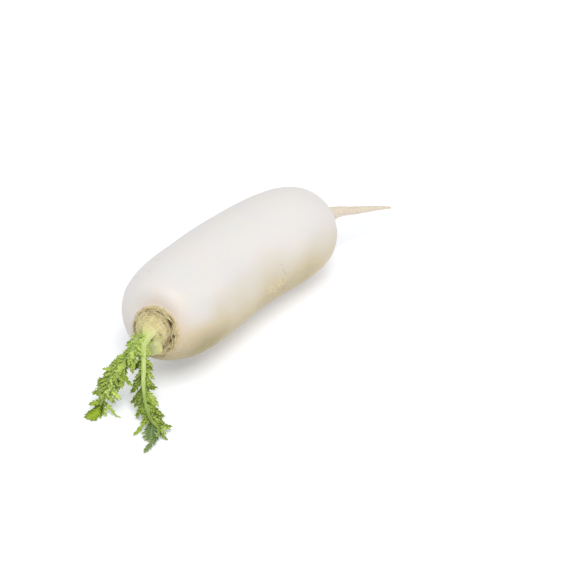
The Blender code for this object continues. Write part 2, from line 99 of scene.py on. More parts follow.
world = bpy.data.worlds.new("surround")
world.use_nodes = True
world.node_tree.nodes["Background"].inputs["Color"].default_value = (0.985, 0.99, 1.0, 1)
world.node_tree.nodes["Background"].inputs["Strength"].default_value = SURROUND_STRENGTH
bpy.context.scene.world = world
bpy.context.scene.view_settings.view_transform = "Standard"

key = bpy.data.objects.new("soft_lamp", bpy.data.lights.new("soft_lamp", "AREA"))
bpy.context.scene.collection.objects.link(key)
key.data.energy = KEY_POWER
key.data.size = KEY_SIZE
key.data.color = (1.0, 0.995, 0.985)
key.location = KEY_DIRECTION * KEY_DISTANCE * MM
key.rotation_euler = (-KEY_DIRECTION).to_track_quat("-Z", "Y").to_euler()

# %% [markdown]
# ## Ways to wire a material
#
# Node trees are quick to draw by hand and long to write out. This small class keeps the writing
# short: it adds a node, joins sockets, and accepts either a socket or a plain value wherever a node
# wants an input.

# %% A board for wiring nodes


class Board:
    """A node tree with short ways to add and join nodes."""

    def __init__(self, tree):
        self.tree = tree

    def put(self, socket, value):
        """Joins a socket to a value's socket, or sets it to the plain value."""
        if isinstance(value, bpy.types.NodeSocket):
            self.tree.links.new(value, socket)
        elif value is not None:
            socket.default_value = value

    def fill(self, node, values):
        """Joins or sets several inputs of a node, given by name or number."""
        for name, value in values.items():
            self.put(node.inputs[name], value)

    def node(self, kind, inputs=None, **settings):
        made = self.tree.nodes.new(kind)
        for name, value in settings.items():
            setattr(made, name, value)
        self.fill(made, inputs or {})
        return made

    def object_place(self):
        """The place on the object, in metres."""
        return self.node("ShaderNodeTexCoord").outputs["Object"]

    def attribute(self, name):
        """A number painted on the mesh."""
        return self.node("ShaderNodeAttribute", attribute_name=name).outputs["Fac"]

    def place_from(self, name):
        """Three numbers painted on the mesh, as a vector."""
        return self.node("ShaderNodeAttribute", attribute_name=name).outputs["Vector"]

    def maths(self, operation, one, two=0.0, clamp=False):
        made = self.node("ShaderNodeMath", {0: one, 1: two}, operation=operation)
        made.use_clamp = clamp
        return made.outputs["Value"]

    def times(self, one, two):
        return self.maths("MULTIPLY", one, two)

    def mix(self, factor, one, two, blend="MIX"):
        """One colour laid over another by a factor."""
        made = self.node("ShaderNodeMix", {0: factor, 6: one, 7: two}, data_type="RGBA")
        made.blend_type = blend
        return made.outputs[2]

    def span(self, value, low, high, to_low=0.0, to_high=1.0):
        """A value's span stretched to another, with soft ends."""
        made = self.node("ShaderNodeMapRange", {0: value, 1: low, 2: high, 3: to_low, 4: to_high})
        made.interpolation_type = "SMOOTHSTEP"
        return made.outputs[0]

    def from_noise(self, height, low, high):
        """A value that follows a noise's height, which mostly lies between 0.3 and 0.7."""
        return self.span(height, 0.3, 0.7, low, high)

    def bump(self, strength, distance, height, normal=None):
        """The normals of a relief that is so many metres deep."""
        inputs = {"Strength": strength, "Distance": distance, "Height": height, "Normal": normal}
        return self.node("ShaderNodeBump", inputs).outputs["Normal"]

    def group(self, tree, **inputs):
        return self.node("ShaderNodeGroup", inputs, node_tree=tree).outputs


def colour(red, green, blue):
    return (red, green, blue, 1.0)


def new_material(name):
    """A material with its board and its Principled shader."""
    made = bpy.data.materials.new(name)
    made.use_nodes = True
    return made, Board(made.node_tree), made.node_tree.nodes["Principled BSDF"]


# %% [markdown]
# ## Effects that several finishes share
#
# Living skin is never one colour. Soft patches of another tint, and fine fibres that run one way,
# turn up on the root, the crown, the stalks and the leaves. Each effect is made once as a node
# group, and each finish gives it its own scale and strength.

# %% Patches and fibres


def group_with(name, numbers, vectors, outputs):
    """An empty shader group with the named sockets, and its board."""
    tree = bpy.data.node_groups.new(name, "ShaderNodeTree")
    for label in vectors:
        tree.interface.new_socket(label, in_out="INPUT", socket_type="NodeSocketVector")
    for label, value in numbers.items():
        socket = tree.interface.new_socket(label, in_out="INPUT", socket_type="NodeSocketFloat")
        socket.default_value = value
    for label in outputs:
        tree.interface.new_socket(label, in_out="OUTPUT", socket_type="NodeSocketFloat")
    board = Board(tree)
    return tree, board, board.node("NodeGroupInput").outputs, board.node("NodeGroupOutput").inputs


def make_patches():
    """Soft patches: a mask that is 1 inside them, and the cloudy height behind it."""
    numbers = {"Scale": 50.0, "Detail": 2.0, "Low": 0.45, "High": 0.6}
    tree, board, given, wanted = group_with("soft_patches", numbers, ["Place"], ["Mask", "Height"])
    cloud = board.node("ShaderNodeTexNoise", {
        "Vector": given["Place"], "Scale": given["Scale"], "Detail": given["Detail"],
    }).outputs["Fac"]
    board.put(wanted["Mask"], board.span(cloud, given["Low"], given["High"]))
    board.put(wanted["Height"], cloud)
    return tree


def make_fibres():
    """Fibres: noise drawn out along one direction by the stretch it is given."""
    numbers = {"Scale": 400.0, "Low": 0.4, "High": 0.6}
    vectors = ["Place", "Stretch"]
    tree, board, given, wanted = group_with("fibres", numbers, vectors, ["Mask", "Height"])
    factors = {0: given["Place"], 1: given["Stretch"]}
    drawn = board.node("ShaderNodeVectorMath", factors, operation="MULTIPLY")
    thread = board.node("ShaderNodeTexNoise", {
        "Vector": drawn.outputs["Vector"], "Scale": given["Scale"], "Detail": 3.0, "Roughness": 0.6,
    }).outputs["Fac"]
    board.put(wanted["Mask"], board.span(thread, given["Low"], given["High"]))
    board.put(wanted["Height"], thread)
    return tree


PATCHES = make_patches()
FIBRES = make_fibres()
EVEN_STRETCH = (1.0, 1.0, 1.0)
print("shared effects:", PATCHES.name, FIBRES.name)

# %% [markdown]
# ## Meshes from points
#
# Each piece is a stack of rings or a grid of points, bent into shape by formula. A few helpers serve
# them all: soft steps and curves, places round a ring, an object with named numbers painted on its
# points, and the faces between rings.

# %% Steps, bumps and curves


def clamped(value):
    """The value kept between 0 and 1."""
    return min(1.0, max(0.0, value))


def smooth_step(value):
    """0 to 1 with level ends."""
    value = clamped(value)
    return value * value * (3 - 2 * value)


def bump_at(value, middle, reach):
    """A soft bump, 1 at its middle."""
    return math.exp(-(((value - middle) / reach) ** 2))


def between(before, start, stop, after, s):
    """The smooth way from start (s = 0) to stop (s = 1) that heeds the corners on either side."""
    slope = (stop - before) * s
    bend = (2 * before - 5 * start + 4 * stop - after) * s ** 2
    swing = (3 * start - before - 3 * stop + after) * s ** 3
    return start + 0.5 * (slope + bend + swing)


def spoke(across, upright, angle):
    """The direction at an angle in the plane of two directions."""
    return across * math.cos(angle) + upright * math.sin(angle)


def ring_point(centre, across, upright, radius, angle):
    """The point at an angle on a round ring."""
    return centre + across * (radius * math.cos(angle)) + upright * (radius * math.sin(angle))


# %% Helpers that make meshes


def paint(mesh, name, values):
    """Paints numbers, or vectors, on the points of a mesh under a name."""
    if isinstance(values[0], (int, float)):
        layer = mesh.attributes.new(name, "FLOAT", "POINT")
        layer.data.foreach_set("value", values)
    else:
        layer = mesh.attributes.new(name, "FLOAT_VECTOR", "POINT")
        layer.data.foreach_set("vector", [number for value in values for number in value])


def make_piece(name, points, faces, painted, material):
    """A finished piece that rides on the one body."""
    mesh = bpy.data.meshes.new(name)
    mesh.from_pydata([point * MM for point in points], [], faces)
    for label, values in painted.items():
        paint(mesh, label, values)
    mesh.materials.append(material)
    mesh.shade_smooth()
    mesh.update()
    piece = bpy.data.objects.new(name, mesh)
    bpy.context.scene.collection.objects.link(piece)
    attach(piece, "root")
    print(name, len(points), "points,", len(faces), "faces")
    return piece


def skin_rings(around, count, start=0):
    """The faces between rings of points that follow each other from a start index."""
    faces = []
    for row in range(count - 1):
        low = start + row * around
        high = low + around
        for column in range(around):
            following = (column + 1) % around
            faces.append((low + column, low + following, high + following, high + column))
    return faces


def fan(tip, ring, forward):
    """Triangles from a tip to a ring of point indices."""
    pairs = zip(ring, ring[1:] + ring[:1])
    if forward:
        return [(tip, start, stop) for start, stop in pairs]
    return [(tip, stop, start) for start, stop in pairs]


# %% [markdown]
# ## The root's form
#
# A radish is a swollen stem and root in one. Its body is a tube of rings along a bent axis, blunt at
# both ends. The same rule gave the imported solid, and here it is drawn with many more rings, so that
# the outline stays and the facets go. The shoulder leans to one side, as a grown one does, and the
# belly is flat where it rests.

# %% The body's rule
BODY_LENGTH = 206.5
BODY_RADIUS = 40.5
BODY_TAPER = 0.02
CROWN_POWERS = (5.8, 2.7)
TAIL_POWERS = (5.0, 2.0)
BEND_DEG = 24.6
BEND_START = 0.5
CROWN_LIFT = 5.0
CROWN_LIFT_START = 0.2
FLAT_DEPTH = 1.1
FLAT_REACH = 0.26
FLAT_CLEARANCE = 6.0


def body_radius(t):
    """The body's radius at t, from -1 at the crown to 1 at the tail."""
    power, root = CROWN_POWERS if t < 0 else TAIL_POWERS
    return BODY_RADIUS * (1 - abs(t) ** power) ** (1 / root) * (1 + BODY_TAPER * t)


def station_where(radius, toward):
    """The t at which the body narrows to a radius, toward the crown (-1) or the tail (1)."""
    near, far = 0.5, 1.0
    halvings = 40
    for _ in range(halvings):
        middle = (near + far) / 2
        if body_radius(toward * middle) > radius:
            near = middle
        else:
            far = middle
    return toward * near


def bent_axis(t):
    """The axis seen from above, straight toward the tail and an arc toward the crown."""
    half = BODY_LENGTH / 2
    arc_radius = half * (1 + BEND_START) / math.radians(BEND_DEG)
    turned = max(0.0, BEND_START - t) * half / arc_radius
    ahead = max(0.0, t - BEND_START) * half
    along = half * BEND_START + ahead - arc_radius * math.sin(turned)
    aside = -arc_radius * (1 - math.cos(turned))
    return Vector((along, aside, 0)), turned


def axis_at(t):
    """The axis's point and direction, with the middle of the body over the origin."""
    rise = max(0.0, -t - CROWN_LIFT_START) / (1 - CROWN_LIFT_START)
    height = BODY_RADIUS * (1 + BODY_TAPER * t) - FLAT_DEPTH + CROWN_LIFT * rise ** 2
    place, turned = bent_axis(t)
    middle, _ = bent_axis(0.0)
    direction = Vector((math.cos(turned), math.sin(turned), 0))
    return place - middle + UP * height, direction


def rested(point, t):
    """Flattens the belly where the root lies on its spot, and clears the surface beyond it."""
    lift = FLAT_CLEARANCE * max(0.0, abs(t) - FLAT_REACH) ** 2
    point.z = max(point.z, lift)
    return point


# %% The lopsided shoulder
COLLAR_RADIUS = 18.1
COLLAR_TILT_DEG = 22.0
SHOULDER_SHIFT = (-15.4, 7.2)
SIDE_SWELL = 4.2
SWELL_MIDDLE = -0.4
SWELL_REACH = 0.5
CHIN_LIFT = 2.4
CHIN_START = 0.72
CHIN_REACH = 0.2
LUMP_HEIGHT = 0.5
LUMP_SIZE = 34.0
LUMP_FADE = 0.15


def body_frame(t):
    """The centre and the two in-plane directions of the body's ring at t."""
    centre, direction = axis_at(t)
    across = UP.cross(direction).normalized()
    narrowed = 1 - body_radius(t) / BODY_RADIUS if t < 0 else 0.0
    centre += across * (SHOULDER_SHIFT[0] * narrowed) + UP * (SHOULDER_SHIFT[1] * narrowed)
    tilt = math.radians(COLLAR_TILT_DEG) * min(1.0, 2 * smooth_step(narrowed))
    upright = UP * math.cos(tilt) + direction * math.sin(tilt)
    return centre, across, upright


def shouldered(point, outward, across, t):
    """Swells one side of the body and lifts its chin, both fading out at the collar."""
    full = smooth_step(2 * (body_radius(t) - COLLAR_RADIUS) / BODY_RADIUS)
    swell = SIDE_SWELL * full * math.exp(-((t - SWELL_MIDDLE) / SWELL_REACH) ** 2)
    chin = CHIN_LIFT * full * smooth_step((-t - CHIN_START) / CHIN_REACH)
    point = point - across * (swell * max(0.0, -outward.dot(across)) ** 2)
    return point + UP * (chin * max(0.0, -outward.z) ** 2)


def lumped(point, outward, t):
    """The gentle unevenness of a grown root, fading out at its ends."""
    fade = smooth_step((1 - abs(t)) / LUMP_FADE)
    return point + outward * (LUMP_HEIGHT * fade * noise.noise(point / LUMP_SIZE))


# %% [markdown]
# ## Dents and scars in the skin
#
# Side rootlets leave shallow dents with a tan fleck in them, in loose rows along the body. They are
# placed by a seeded draw, pressed into the mesh and painted, so that both the shape and the colour
# have them. One rough patch low on the near side kept some of its rootlets.

# %% The body's skin at a point


def body_ring(t, inset=1.0):
    """The centre, the in-plane directions and the radius of the body's ring at t."""
    centre, across, upright = body_frame(t)
    return centre, across, upright, body_radius(t) * inset


def on_body_ring(t, ring, angle):
    """The point of the skin at an angle round a ring, and the direction straight out of it."""
    centre, across, upright, radius = ring
    point = ring_point(centre, across, upright, radius, angle)
    outward = (point - centre).normalized()
    return lumped(shouldered(point, outward, across, t), outward, t), outward


def body_point(t, angle):
    """A point of the body's skin at t and an angle round it."""
    return on_body_ring(t, body_ring(t), angle)


# %% The dents and the rough patch
DENT_SEED = 41
DENT_COUNT = 34
DENT_SPAN = (-0.8, 0.93)
DENT_ANGLE_MEAN = 0.45
DENT_ANGLE_SPREAD = 0.55
DENT_STRENGTHS = (0.4, 1.0)
DENT_DEPTH = 0.35
DENT_LENGTH = 0.9
DENT_WIDTH = 2.6
DENT_END_ALONG = 4
DENT_END = 9
SCAR_PATCH = Vector((16.0, -41.0, 38.0))
SCAR_PATCH_REACH = Vector((15.0, 8.0, 6.5))


def draw_dents():
    """Seeded places for the dents, in two loose rows on opposite sides."""
    rng = random.Random(DENT_SEED)
    dents = []
    for number in range(DENT_COUNT):
        t = rng.uniform(*DENT_SPAN)
        side = math.pi if number % 2 else 0.0
        point, _ = body_point(t, side + rng.gauss(DENT_ANGLE_MEAN, DENT_ANGLE_SPREAD))
        dents.append((point, rng.uniform(*DENT_STRENGTHS)))
    return dents


DENTS = draw_dents()


def dent_depth(point):
    """How deep the dents press in at a point: wide across the root, narrow along it."""
    depth = 0.0
    for place, strength in DENTS:
        offset = point - place
        if abs(offset.x) < DENT_END_ALONG and offset.length < DENT_END:
            aside = math.hypot(offset.y, offset.z)
            depth += strength * math.exp(-((offset.x / DENT_LENGTH) ** 2) - (aside / DENT_WIDTH) ** 2)
    return depth


def in_scar_patch(point):
    """1 in the middle of the rough patch, 0 outside it."""
    offset = point - SCAR_PATCH
    far = math.hypot(*(away / reach for away, reach in zip(offset, SCAR_PATCH_REACH)))
    ragged = 0.35 * noise.noise(point * 0.35) + 0.2 * noise.noise(point * 1.1)
    return smooth_step((1.05 - far + ragged) * 1.6)


print(len(DENTS), "dents drawn")

# %% [markdown]
# ## The body's rings and what is painted on them
#
# While the rings are made, each point also gets numbers that the finish will read: how near the
# collar it is, how far it faces the table, which gives a yellower tone and painted shade under the
# chin, and how deep in a dent it lies. Colour painted this way follows the form and costs no picture file.

# %% The body's fine rings
SKIN_AROUND = 256
RING_ANGLES = [math.tau * (step + 0.5) / SKIN_AROUND - math.pi / 2 for step in range(SKIN_AROUND)]
BODY_FINE_RINGS = 196
SKIN_INSET = 0.9952
TAIL_START_RADIUS = 9.0
PEACH_REACH = 11.0
PORE_HEIGHT = 0.06
PAINTS = ("beige", "peach", "collar", "dome", "green", "strokes", "cavity", "dent", "tail", "scar")
NO_WEAVE = Vector((0, 0, 0))


class Skin:
    """The root's points, row by row, with the numbers painted on each."""

    def __init__(self):
        self.points = []
        self.painted = {name: [] for name in PAINTS}
        self.painted["weave"] = []

    def add(self, point, weave=NO_WEAVE, **numbers):
        self.points.append(point)
        self.painted["weave"].append(weave)
        for name in PAINTS:
            self.painted[name].append(numbers.get(name, 0.0))


# Each yellow tone starts at a height above the table, and is full so many millimetres below it
# Past 1 the tone turns into painted shade: a dark olive low on the near side and under the chin.
FAR_SIDE_TONE = (56, 46)
NEAR_SIDE_TONE = (72, 50)
TAIL_END_TONE = (76, 40)
CHIN_SHADE = (66, 35)
CLOUD_HEIGHT = 6.0
CLOUD_FINENESS = 0.045


def body_yellow_and_shade(t, point):
    """How yellow the skin is, from 0 to 2: more toward the table and the tail, most under the chin. Past 1 it
    is painted shade.
    """
    cloud = CLOUD_HEIGHT * noise.noise(point * CLOUD_FINENESS)

    def toward_table(start, depth):
        return smooth_step((start + cloud - point.z) / depth)

    near = smooth_step((-point.y - 14) / 20)
    far_side = 0.8 * toward_table(*FAR_SIDE_TONE)
    near_side = (1.4 - 0.5 * smooth_step((t - 0.45) / 0.35)) * toward_table(*NEAR_SIDE_TONE)
    tail_end = 0.15 * smooth_step((t - 0.35) / 0.6) * toward_table(*TAIL_END_TONE)
    chin = 1.9 * smooth_step((0.04 - t) / 0.86) * toward_table(*CHIN_SHADE)
    return far_side + near * (max(near_side, chin) - far_side) + tail_end


def add_body(skin):
    """The swollen body, from the collar to where the tail begins."""
    first = station_where(COLLAR_RADIUS, -1)
    last = station_where(TAIL_START_RADIUS, 1)
    collar_centre, _, _ = body_frame(first)
    for number in range(BODY_FINE_RINGS):
        share = 0.5 - 0.5 * math.cos(math.pi * number / (BODY_FINE_RINGS - 1))
        t = first + (last - first) * share
        ring = body_ring(t, SKIN_INSET)
        for angle in RING_ANGLES:
            point, outward = on_body_ring(t, ring, angle)
            dent = dent_depth(point)
            scar = in_scar_patch(point)
            rough = PORE_HEIGHT * noise.noise(point * 0.9) + 0.35 * scar * noise.noise(point * 1.7)
            point = rested(point - outward * (DENT_DEPTH * dent + 0.1 * scar - rough), t)
            away = (point - collar_centre).length - COLLAR_RADIUS
            side = 0.62 + 0.38 * math.cos(angle - math.radians(150))
            skin.add(
                point,
                beige=body_yellow_and_shade(t, point),
                peach=math.exp(-((away / PEACH_REACH) ** 2)) * side if t < 0 else 0.0,
                collar=smooth_step(1.0 - away / (2.0 + 2.2 * noise.noise(point * 0.8))) if t < 0 else 0.0,
                dent=min(1.0, dent),
                weave=Vector((3 * math.cos(angle), 3 * math.sin(angle), 0)),
                scar=scar,
                tail=smooth_step((t - 0.93) / 0.07),
            )


# %% [markdown]
# ## The crown
#
# Where old leaves broke off, the crown keeps a rough lip of scars, with a groove inside it.
# Out of the groove rises a pale dome of leaf bases wrapped round each other. Its rings are narrower
# and narrower and lean step by step toward the leaves. Overlapping rims on the lip and stepped
# edges on the dome are pressed in by formula. The groove, the gaps between leaf bases and the
# hollows under the rims are painted dark with shade.

# %% The crown's rule
DOME_TILT_DEG = 40.0
DOME_SHIFT = (1.5, 1.8)
DOME_SHIFT_FROM = 1.5
DOME_SHIFT_SPAN = 2.5
CROWN_STEPS = (
    (18.1, 0.0, 0.00),
    (17.4, 1.4, 0.05),
    (16.3, 2.0, 0.12),
    (14.8, 1.1, 0.22),
    (13.7, 1.6, 0.34),
    (13.3, 3.1, 0.50),
    (12.5, 5.1, 0.68),
    (10.9, 7.1, 0.84),
    (8.3, 8.6, 0.94),
    (5.2, 9.5, 1.00),
    (2.3, 9.9, 1.00),
)
SCAR_COUNT = 11
SCAR_DEPTH = 0.6
SHEATH_COUNT = 5
SHEATH_DEPTH = 0.9
CROWN_FINENESS = 9
RIM_HEIGHT = 0.55
RAGGED_HEIGHT = 0.34

# Each gap is an angle in degrees, a ring number, its reach in degrees and in rings, and a strength
CROWN_GAPS = (
    (131, 1.8, 15, 1.15, 1.0),
    (148, 3.0, 13, 0.65, 0.9),
    (176, 1.9, 6, 0.50, 0.7),
    (196, 2.9, 10, 0.45, 0.8),
    (216, 1.6, 7, 0.40, 0.6),
    (251, 2.8, 6, 0.60, 1.0),
    (279, 2.0, 9, 0.45, 0.6),
    (96, 2.4, 14, 0.40, 0.6),
    (66, 2.9, 14, 0.45, 0.7),
    (34, 2.4, 12, 0.45, 0.6),
    (171, 7.35, 26, 0.50, 0.62),
)
LIP_REACH = 1.7
LIP_SIDE_DEG = 125.0
STROKES_SIDE = math.radians(45)


def crown_step(number):
    """The radius, height and tilt share at a ring number, which may lie between two steps."""
    low = min(int(number), len(CROWN_STEPS) - 2)
    share = number - low
    picked = [CROWN_STEPS[min(max(low + k, 0), len(CROWN_STEPS) - 1)] for k in (-1, 0, 1, 2)]
    return [between(*corners, share) for corners in zip(*picked)]


def crown_frames():
    """The centre, turned directions and radius of each fine crown ring, from the collar out."""
    centre, across, upright = body_frame(station_where(COLLAR_RADIUS, -1))
    facing = upright.cross(across).normalized()
    extra = math.radians(DOME_TILT_DEG - COLLAR_TILT_DEG)
    found = []
    risen = 0.0
    count = (len(CROWN_STEPS) - 1) * CROWN_FINENESS
    for index in range(count + 1):
        number = index / CROWN_FINENESS
        radius, height, share = crown_step(number)
        turn = Matrix.Rotation(-extra * share, 3, across)
        centre = centre + (turn @ facing) * (height - risen)
        risen = height
        shifted = smooth_step((number - DOME_SHIFT_FROM) / DOME_SHIFT_SPAN)
        middle = centre + across * (DOME_SHIFT[0] * shifted) + turn @ upright * (DOME_SHIFT[1] * shifted)
        found.append((number, middle, across, turn @ upright, turn @ facing, radius))
    return found


CROWN_FRAMES = crown_frames()


def crown_shape(number, angle):
    """The change of radius round a crown ring, as the solid has it: scars, then sheath steps."""
    step = number - 1
    scarred = math.exp(-((step - 1.0) / 1.4) ** 2)
    sheathed = smooth_step((step - 3) / 2.0) * smooth_step((9 - step) / 3.0)
    scars = math.sin(SCAR_COUNT * angle + 1.3 * step) + 0.5 * math.sin(7 * angle + 2.1 * step)
    sheaths = (SHEATH_COUNT * angle / math.tau + 0.06 * step) % 1.0 - 0.5
    return SCAR_DEPTH * scarred * scars + SHEATH_DEPTH * sheathed * sheaths


def gap_depth(number, angle):
    """How far a point lies in one of the gaps between old leaf bases, pressed in and painted with shade."""
    deep = 0.0
    ragged = 0.6 * noise.noise(Vector((math.cos(angle) * 14, math.sin(angle) * 14, number * 2.0)))
    for degrees, ring, reach, ring_reach, strength in CROWN_GAPS:
        turned = (math.degrees(angle) - degrees + 180) % 360 - 180
        deep += strength * bump_at(turned, 0, reach) * bump_at(number + ragged, ring, ring_reach)
    return min(1.0, deep)


def lip_reach(angle):
    """How many rings further the rough lip climbs the dome on its upper right side."""
    return LIP_REACH * smooth_step(0.55 + 0.9 * math.cos(angle - math.radians(LIP_SIDE_DEG)))


def crown_relief(number, angle):
    """The fine relief of the crown: how far out, how far up, and how much painted shade lies in the hollows.
    """
    spot = Vector((math.cos(angle), math.sin(angle), 0))
    lip = smooth_step(number / 0.8) * smooth_step((4.8 + lip_reach(angle) - number) / 1.2)
    warp = 1.1 * noise.noise(spot * 2.2 + UP * number * 0.5) + 0.45 * noise.noise(spot * 10 + UP * number)
    rims = (number * 1.5 + warp) % 1.0
    broken = smooth_step(0.5 + 1.7 * noise.noise(spot * 6 + UP * (number * 1.4 + 9)))
    ragged = noise.noise(spot * 16 + UP * number * 2.2) + 0.5 * noise.noise(spot * 37 + UP * number * 6)
    specks = max(0.0, noise.noise(spot * 26 + UP * number * 4.5) - 0.12)
    fibred = 0.14 * noise.noise(spot * 22 + UP * number * 0.5) * smooth_step((number - 4) / 2)
    gap = gap_depth(number, angle)
    out = lip * (0.4 * RIM_HEIGHT * rims + 0.6 * RAGGED_HEIGHT * ragged) + fibred
    up = lip * (RIM_HEIGHT * rims * broken + RAGGED_HEIGHT * ragged)
    up -= gap * (1.5 - 1.2 * smooth_step((number - 4.5) / 1.5))
    # Painted shade under the rims, in the ragged hollows and in small specks, with the gaps added.
    cavity = lip * min(1.0, max(0.0, 0.36 - rims) * 1.9 * broken + max(0.0, -ragged - 0.1) * 0.8 + specks)
    return out, up, min(1.0, cavity + gap)


def add_crown(skin):
    """The lip, the groove and the dome, from the dome's top back to the collar."""
    for number, centre, across, upright, facing, radius in reversed(CROWN_FRAMES[1:]):
        for angle in RING_ANGLES:
            out, up, cavity = crown_relief(number, angle)
            reach = radius * SKIN_INSET + crown_shape(number, angle) + out
            outward = spoke(across, upright, angle)
            low_side = 0.5 + 0.5 * math.cos(angle - math.radians(285))
            climb = 0.8 * lip_reach(angle)
            skin.add(
                centre + outward * reach + facing * up,
                beige=0.3,
                peach=smooth_step(1.2 - number),
                collar=smooth_step((5.4 + climb - number) / 1.8),
                dome=smooth_step((number - 3.4 - climb) / 1.4),
                green=smooth_step((number - 4.0) / 3.5) * (0.06 + 0.94 * low_side ** 2),
                strokes=bump_at(number, 5.4, 2.6) * smooth_step(1.2 * math.cos(angle - STROKES_SIDE)),
                cavity=cavity,
                weave=Vector((3 * math.cos(angle), 3 * math.sin(angle), number)),
            )


# %% [markdown]
# ## The tail root
#
# Past the blunt end the root narrows fast and goes on as a thin, wrinkled tail, pinkish where it
# held the soil. It droops and wanders a little. Its wrinkles run across it, so they are noise
# stretched round the rings.

# %% The tail's rule
TAIL_LENGTH = 74.0
TAIL_RADIUS = 4.2
TAIL_TIP_RADIUS = 0.9
TAIL_TIP_ROUND = 0.8
TAIL_TAPER_POWER = 1.8
FLARE_LENGTH = 8.0
TAIL_DROOP_DEG = 18.0
TAIL_TURN_DEG = -4.0
TAIL_WANDER = 0.8
TAIL_STEPS = 16
TAIL_FINENESS = 6
WRINKLE_HEIGHT = 0.22


def tail_frames():
    """The centre, directions and radius of each fine tail ring."""
    t = station_where(TAIL_START_RADIUS, 1)
    centre, across, upright = body_frame(t)
    _, along = axis_at(t)
    found = []
    count = TAIL_STEPS * TAIL_FINENESS
    for number in range(1, count + 1):
        share = number / count
        settled = smooth_step(share * 3)
        droop = Matrix.Rotation(math.radians(TAIL_DROOP_DEG * settled), 3, "Y")
        turn = Matrix.Rotation(math.radians(TAIL_TURN_DEG * settled), 3, "Z")
        heading = turn @ droop @ along
        centre = centre + heading * (TAIL_LENGTH / count)
        taper = TAIL_RADIUS + (TAIL_TIP_RADIUS - TAIL_RADIUS) * share ** TAIL_TAPER_POWER
        flare = (TAIL_START_RADIUS - TAIL_RADIUS) * math.exp(-((share * TAIL_LENGTH / FLARE_LENGTH) ** 1.2))
        wander = TAIL_WANDER * noise.noise(Vector((share * 4, 3.7, 0)))
        found.append((share, centre + UP * wander, across, turn @ droop @ upright, taper + flare, heading))
    return found


TAIL_FRAMES = tail_frames()


def add_tail(skin):
    """The tail's rings out to its tip."""
    for share, centre, across, upright, radius, _ in TAIL_FRAMES:
        faded = smooth_step(share * 6)
        for angle in RING_ANGLES:
            outward = spoke(across, upright, angle)
            spot = Vector((math.cos(angle) * 0.8, math.sin(angle) * 0.8, share * 42))
            wrinkle = WRINKLE_HEIGHT * faded * (noise.noise(spot) - 0.25)
            reach = min(radius, radius * SKIN_INSET + wrinkle * min(1.0, radius / TAIL_RADIUS))
            skin.add(centre + outward * reach, beige=0.5, tail=1.0, dent=max(0.0, -wrinkle) * 2.5)
    return TAIL_FRAMES[-1][1] + TAIL_FRAMES[-1][5] * (TAIL_TIP_ROUND * TAIL_TIP_RADIUS)


# %% [markdown]
# ## The living skin
#
# Radish skin is white flesh seen through a thin clear layer, so light sinks in and comes out soft.
# The shader's subsurface share does that. Over a warm white lie faint patches of grey and cream, a
# yellower tone underneath that turns into painted shade under the chin, a peach blush round the
# collar, tan fibres on the lip, dark brown painted shade in its hollows and green toward the young stalks.

# %% The noises behind the skin's colours and relief


def skin_noises(board):
    """Clouds, pores, rings and threads on the skin, and streaks, arcs and strokes round the crown."""
    place = board.object_place()
    weave = board.place_from("weave")
    rings, streaks, arcs, strokes = (3.0, 0.35, 0.35), (1.0, 1.0, 0.16), (0.55, 0.55, 1.5), (0.5, 0.5, 1.3)
    return {
        "cloudy": board.group(PATCHES, Place=place, Scale=28.0, Detail=2.0, Low=0.40, High=0.64),
        "fine": board.group(PATCHES, Place=place, Scale=420.0, Detail=3.0, Low=0.42, High=0.66),
        "rings": board.group(FIBRES, Place=place, Stretch=rings, Scale=330.0, Low=0.5, High=0.72),
        "threads": board.group(FIBRES, Place=place, Stretch=EVEN_STRETCH, Scale=900.0, Low=0.38, High=0.62),
        "streaks": board.group(FIBRES, Place=weave, Stretch=streaks, Scale=3.2, Low=0.40, High=0.62),
        "arcs": board.group(FIBRES, Place=weave, Stretch=arcs, Scale=2.2, Low=0.40, High=0.60),
        "strokes": board.group(FIBRES, Place=weave, Stretch=strokes, Scale=2.6, Low=0.49, High=0.60),
    }


# %% The body's and the tail's colours


def body_tint(board, noises):
    """A clouded warm white, then the yellow tones with painted shade under the chin, the blush, the flecks,
    the tail and the scar.
    """
    cloudy, rings, threads = noises["cloudy"], noises["rings"], noises["threads"]
    tint = board.mix(cloudy["Mask"], colour(0.775, 0.742, 0.708), colour(0.757, 0.740, 0.722))
    tint = board.mix(board.times(rings["Mask"], 0.20), tint, colour(0.735, 0.685, 0.605))
    yellow = board.times(board.attribute("beige"), board.from_noise(cloudy["Height"], 0.85, 1.0))
    # Past 1 the yellow tone turns into dark olive: painted shade low on the near side and under the chin.
    painted_underside_shade = board.maths("SUBTRACT", yellow, 1.0, clamp=True)
    tint = board.mix(board.maths("MINIMUM", yellow, 1.0), tint, colour(0.640, 0.545, 0.360))
    tint = board.mix(painted_underside_shade, tint, colour(0.325, 0.275, 0.105))
    blush = board.times(board.attribute("peach"), board.from_noise(noises["fine"]["Height"], 0.25, 0.62))
    tint = board.mix(blush, tint, colour(0.76, 0.60, 0.44))
    tint = board.mix(board.times(board.attribute("dent"), 0.22), tint, colour(0.60, 0.49, 0.33))
    pinkish = board.mix(rings["Mask"], colour(0.755, 0.665, 0.54), colour(0.63, 0.50, 0.37))
    tint = board.mix(board.attribute("tail"), tint, pinkish)
    scarred = board.mix(threads["Mask"], colour(0.60, 0.49, 0.27), colour(0.76, 0.67, 0.44))
    scar = board.times(board.attribute("scar"), board.span(threads["Height"], 0.3, 0.6, 0.45, 1.0))
    return board.mix(scar, tint, scarred)


# %% The crown's colours


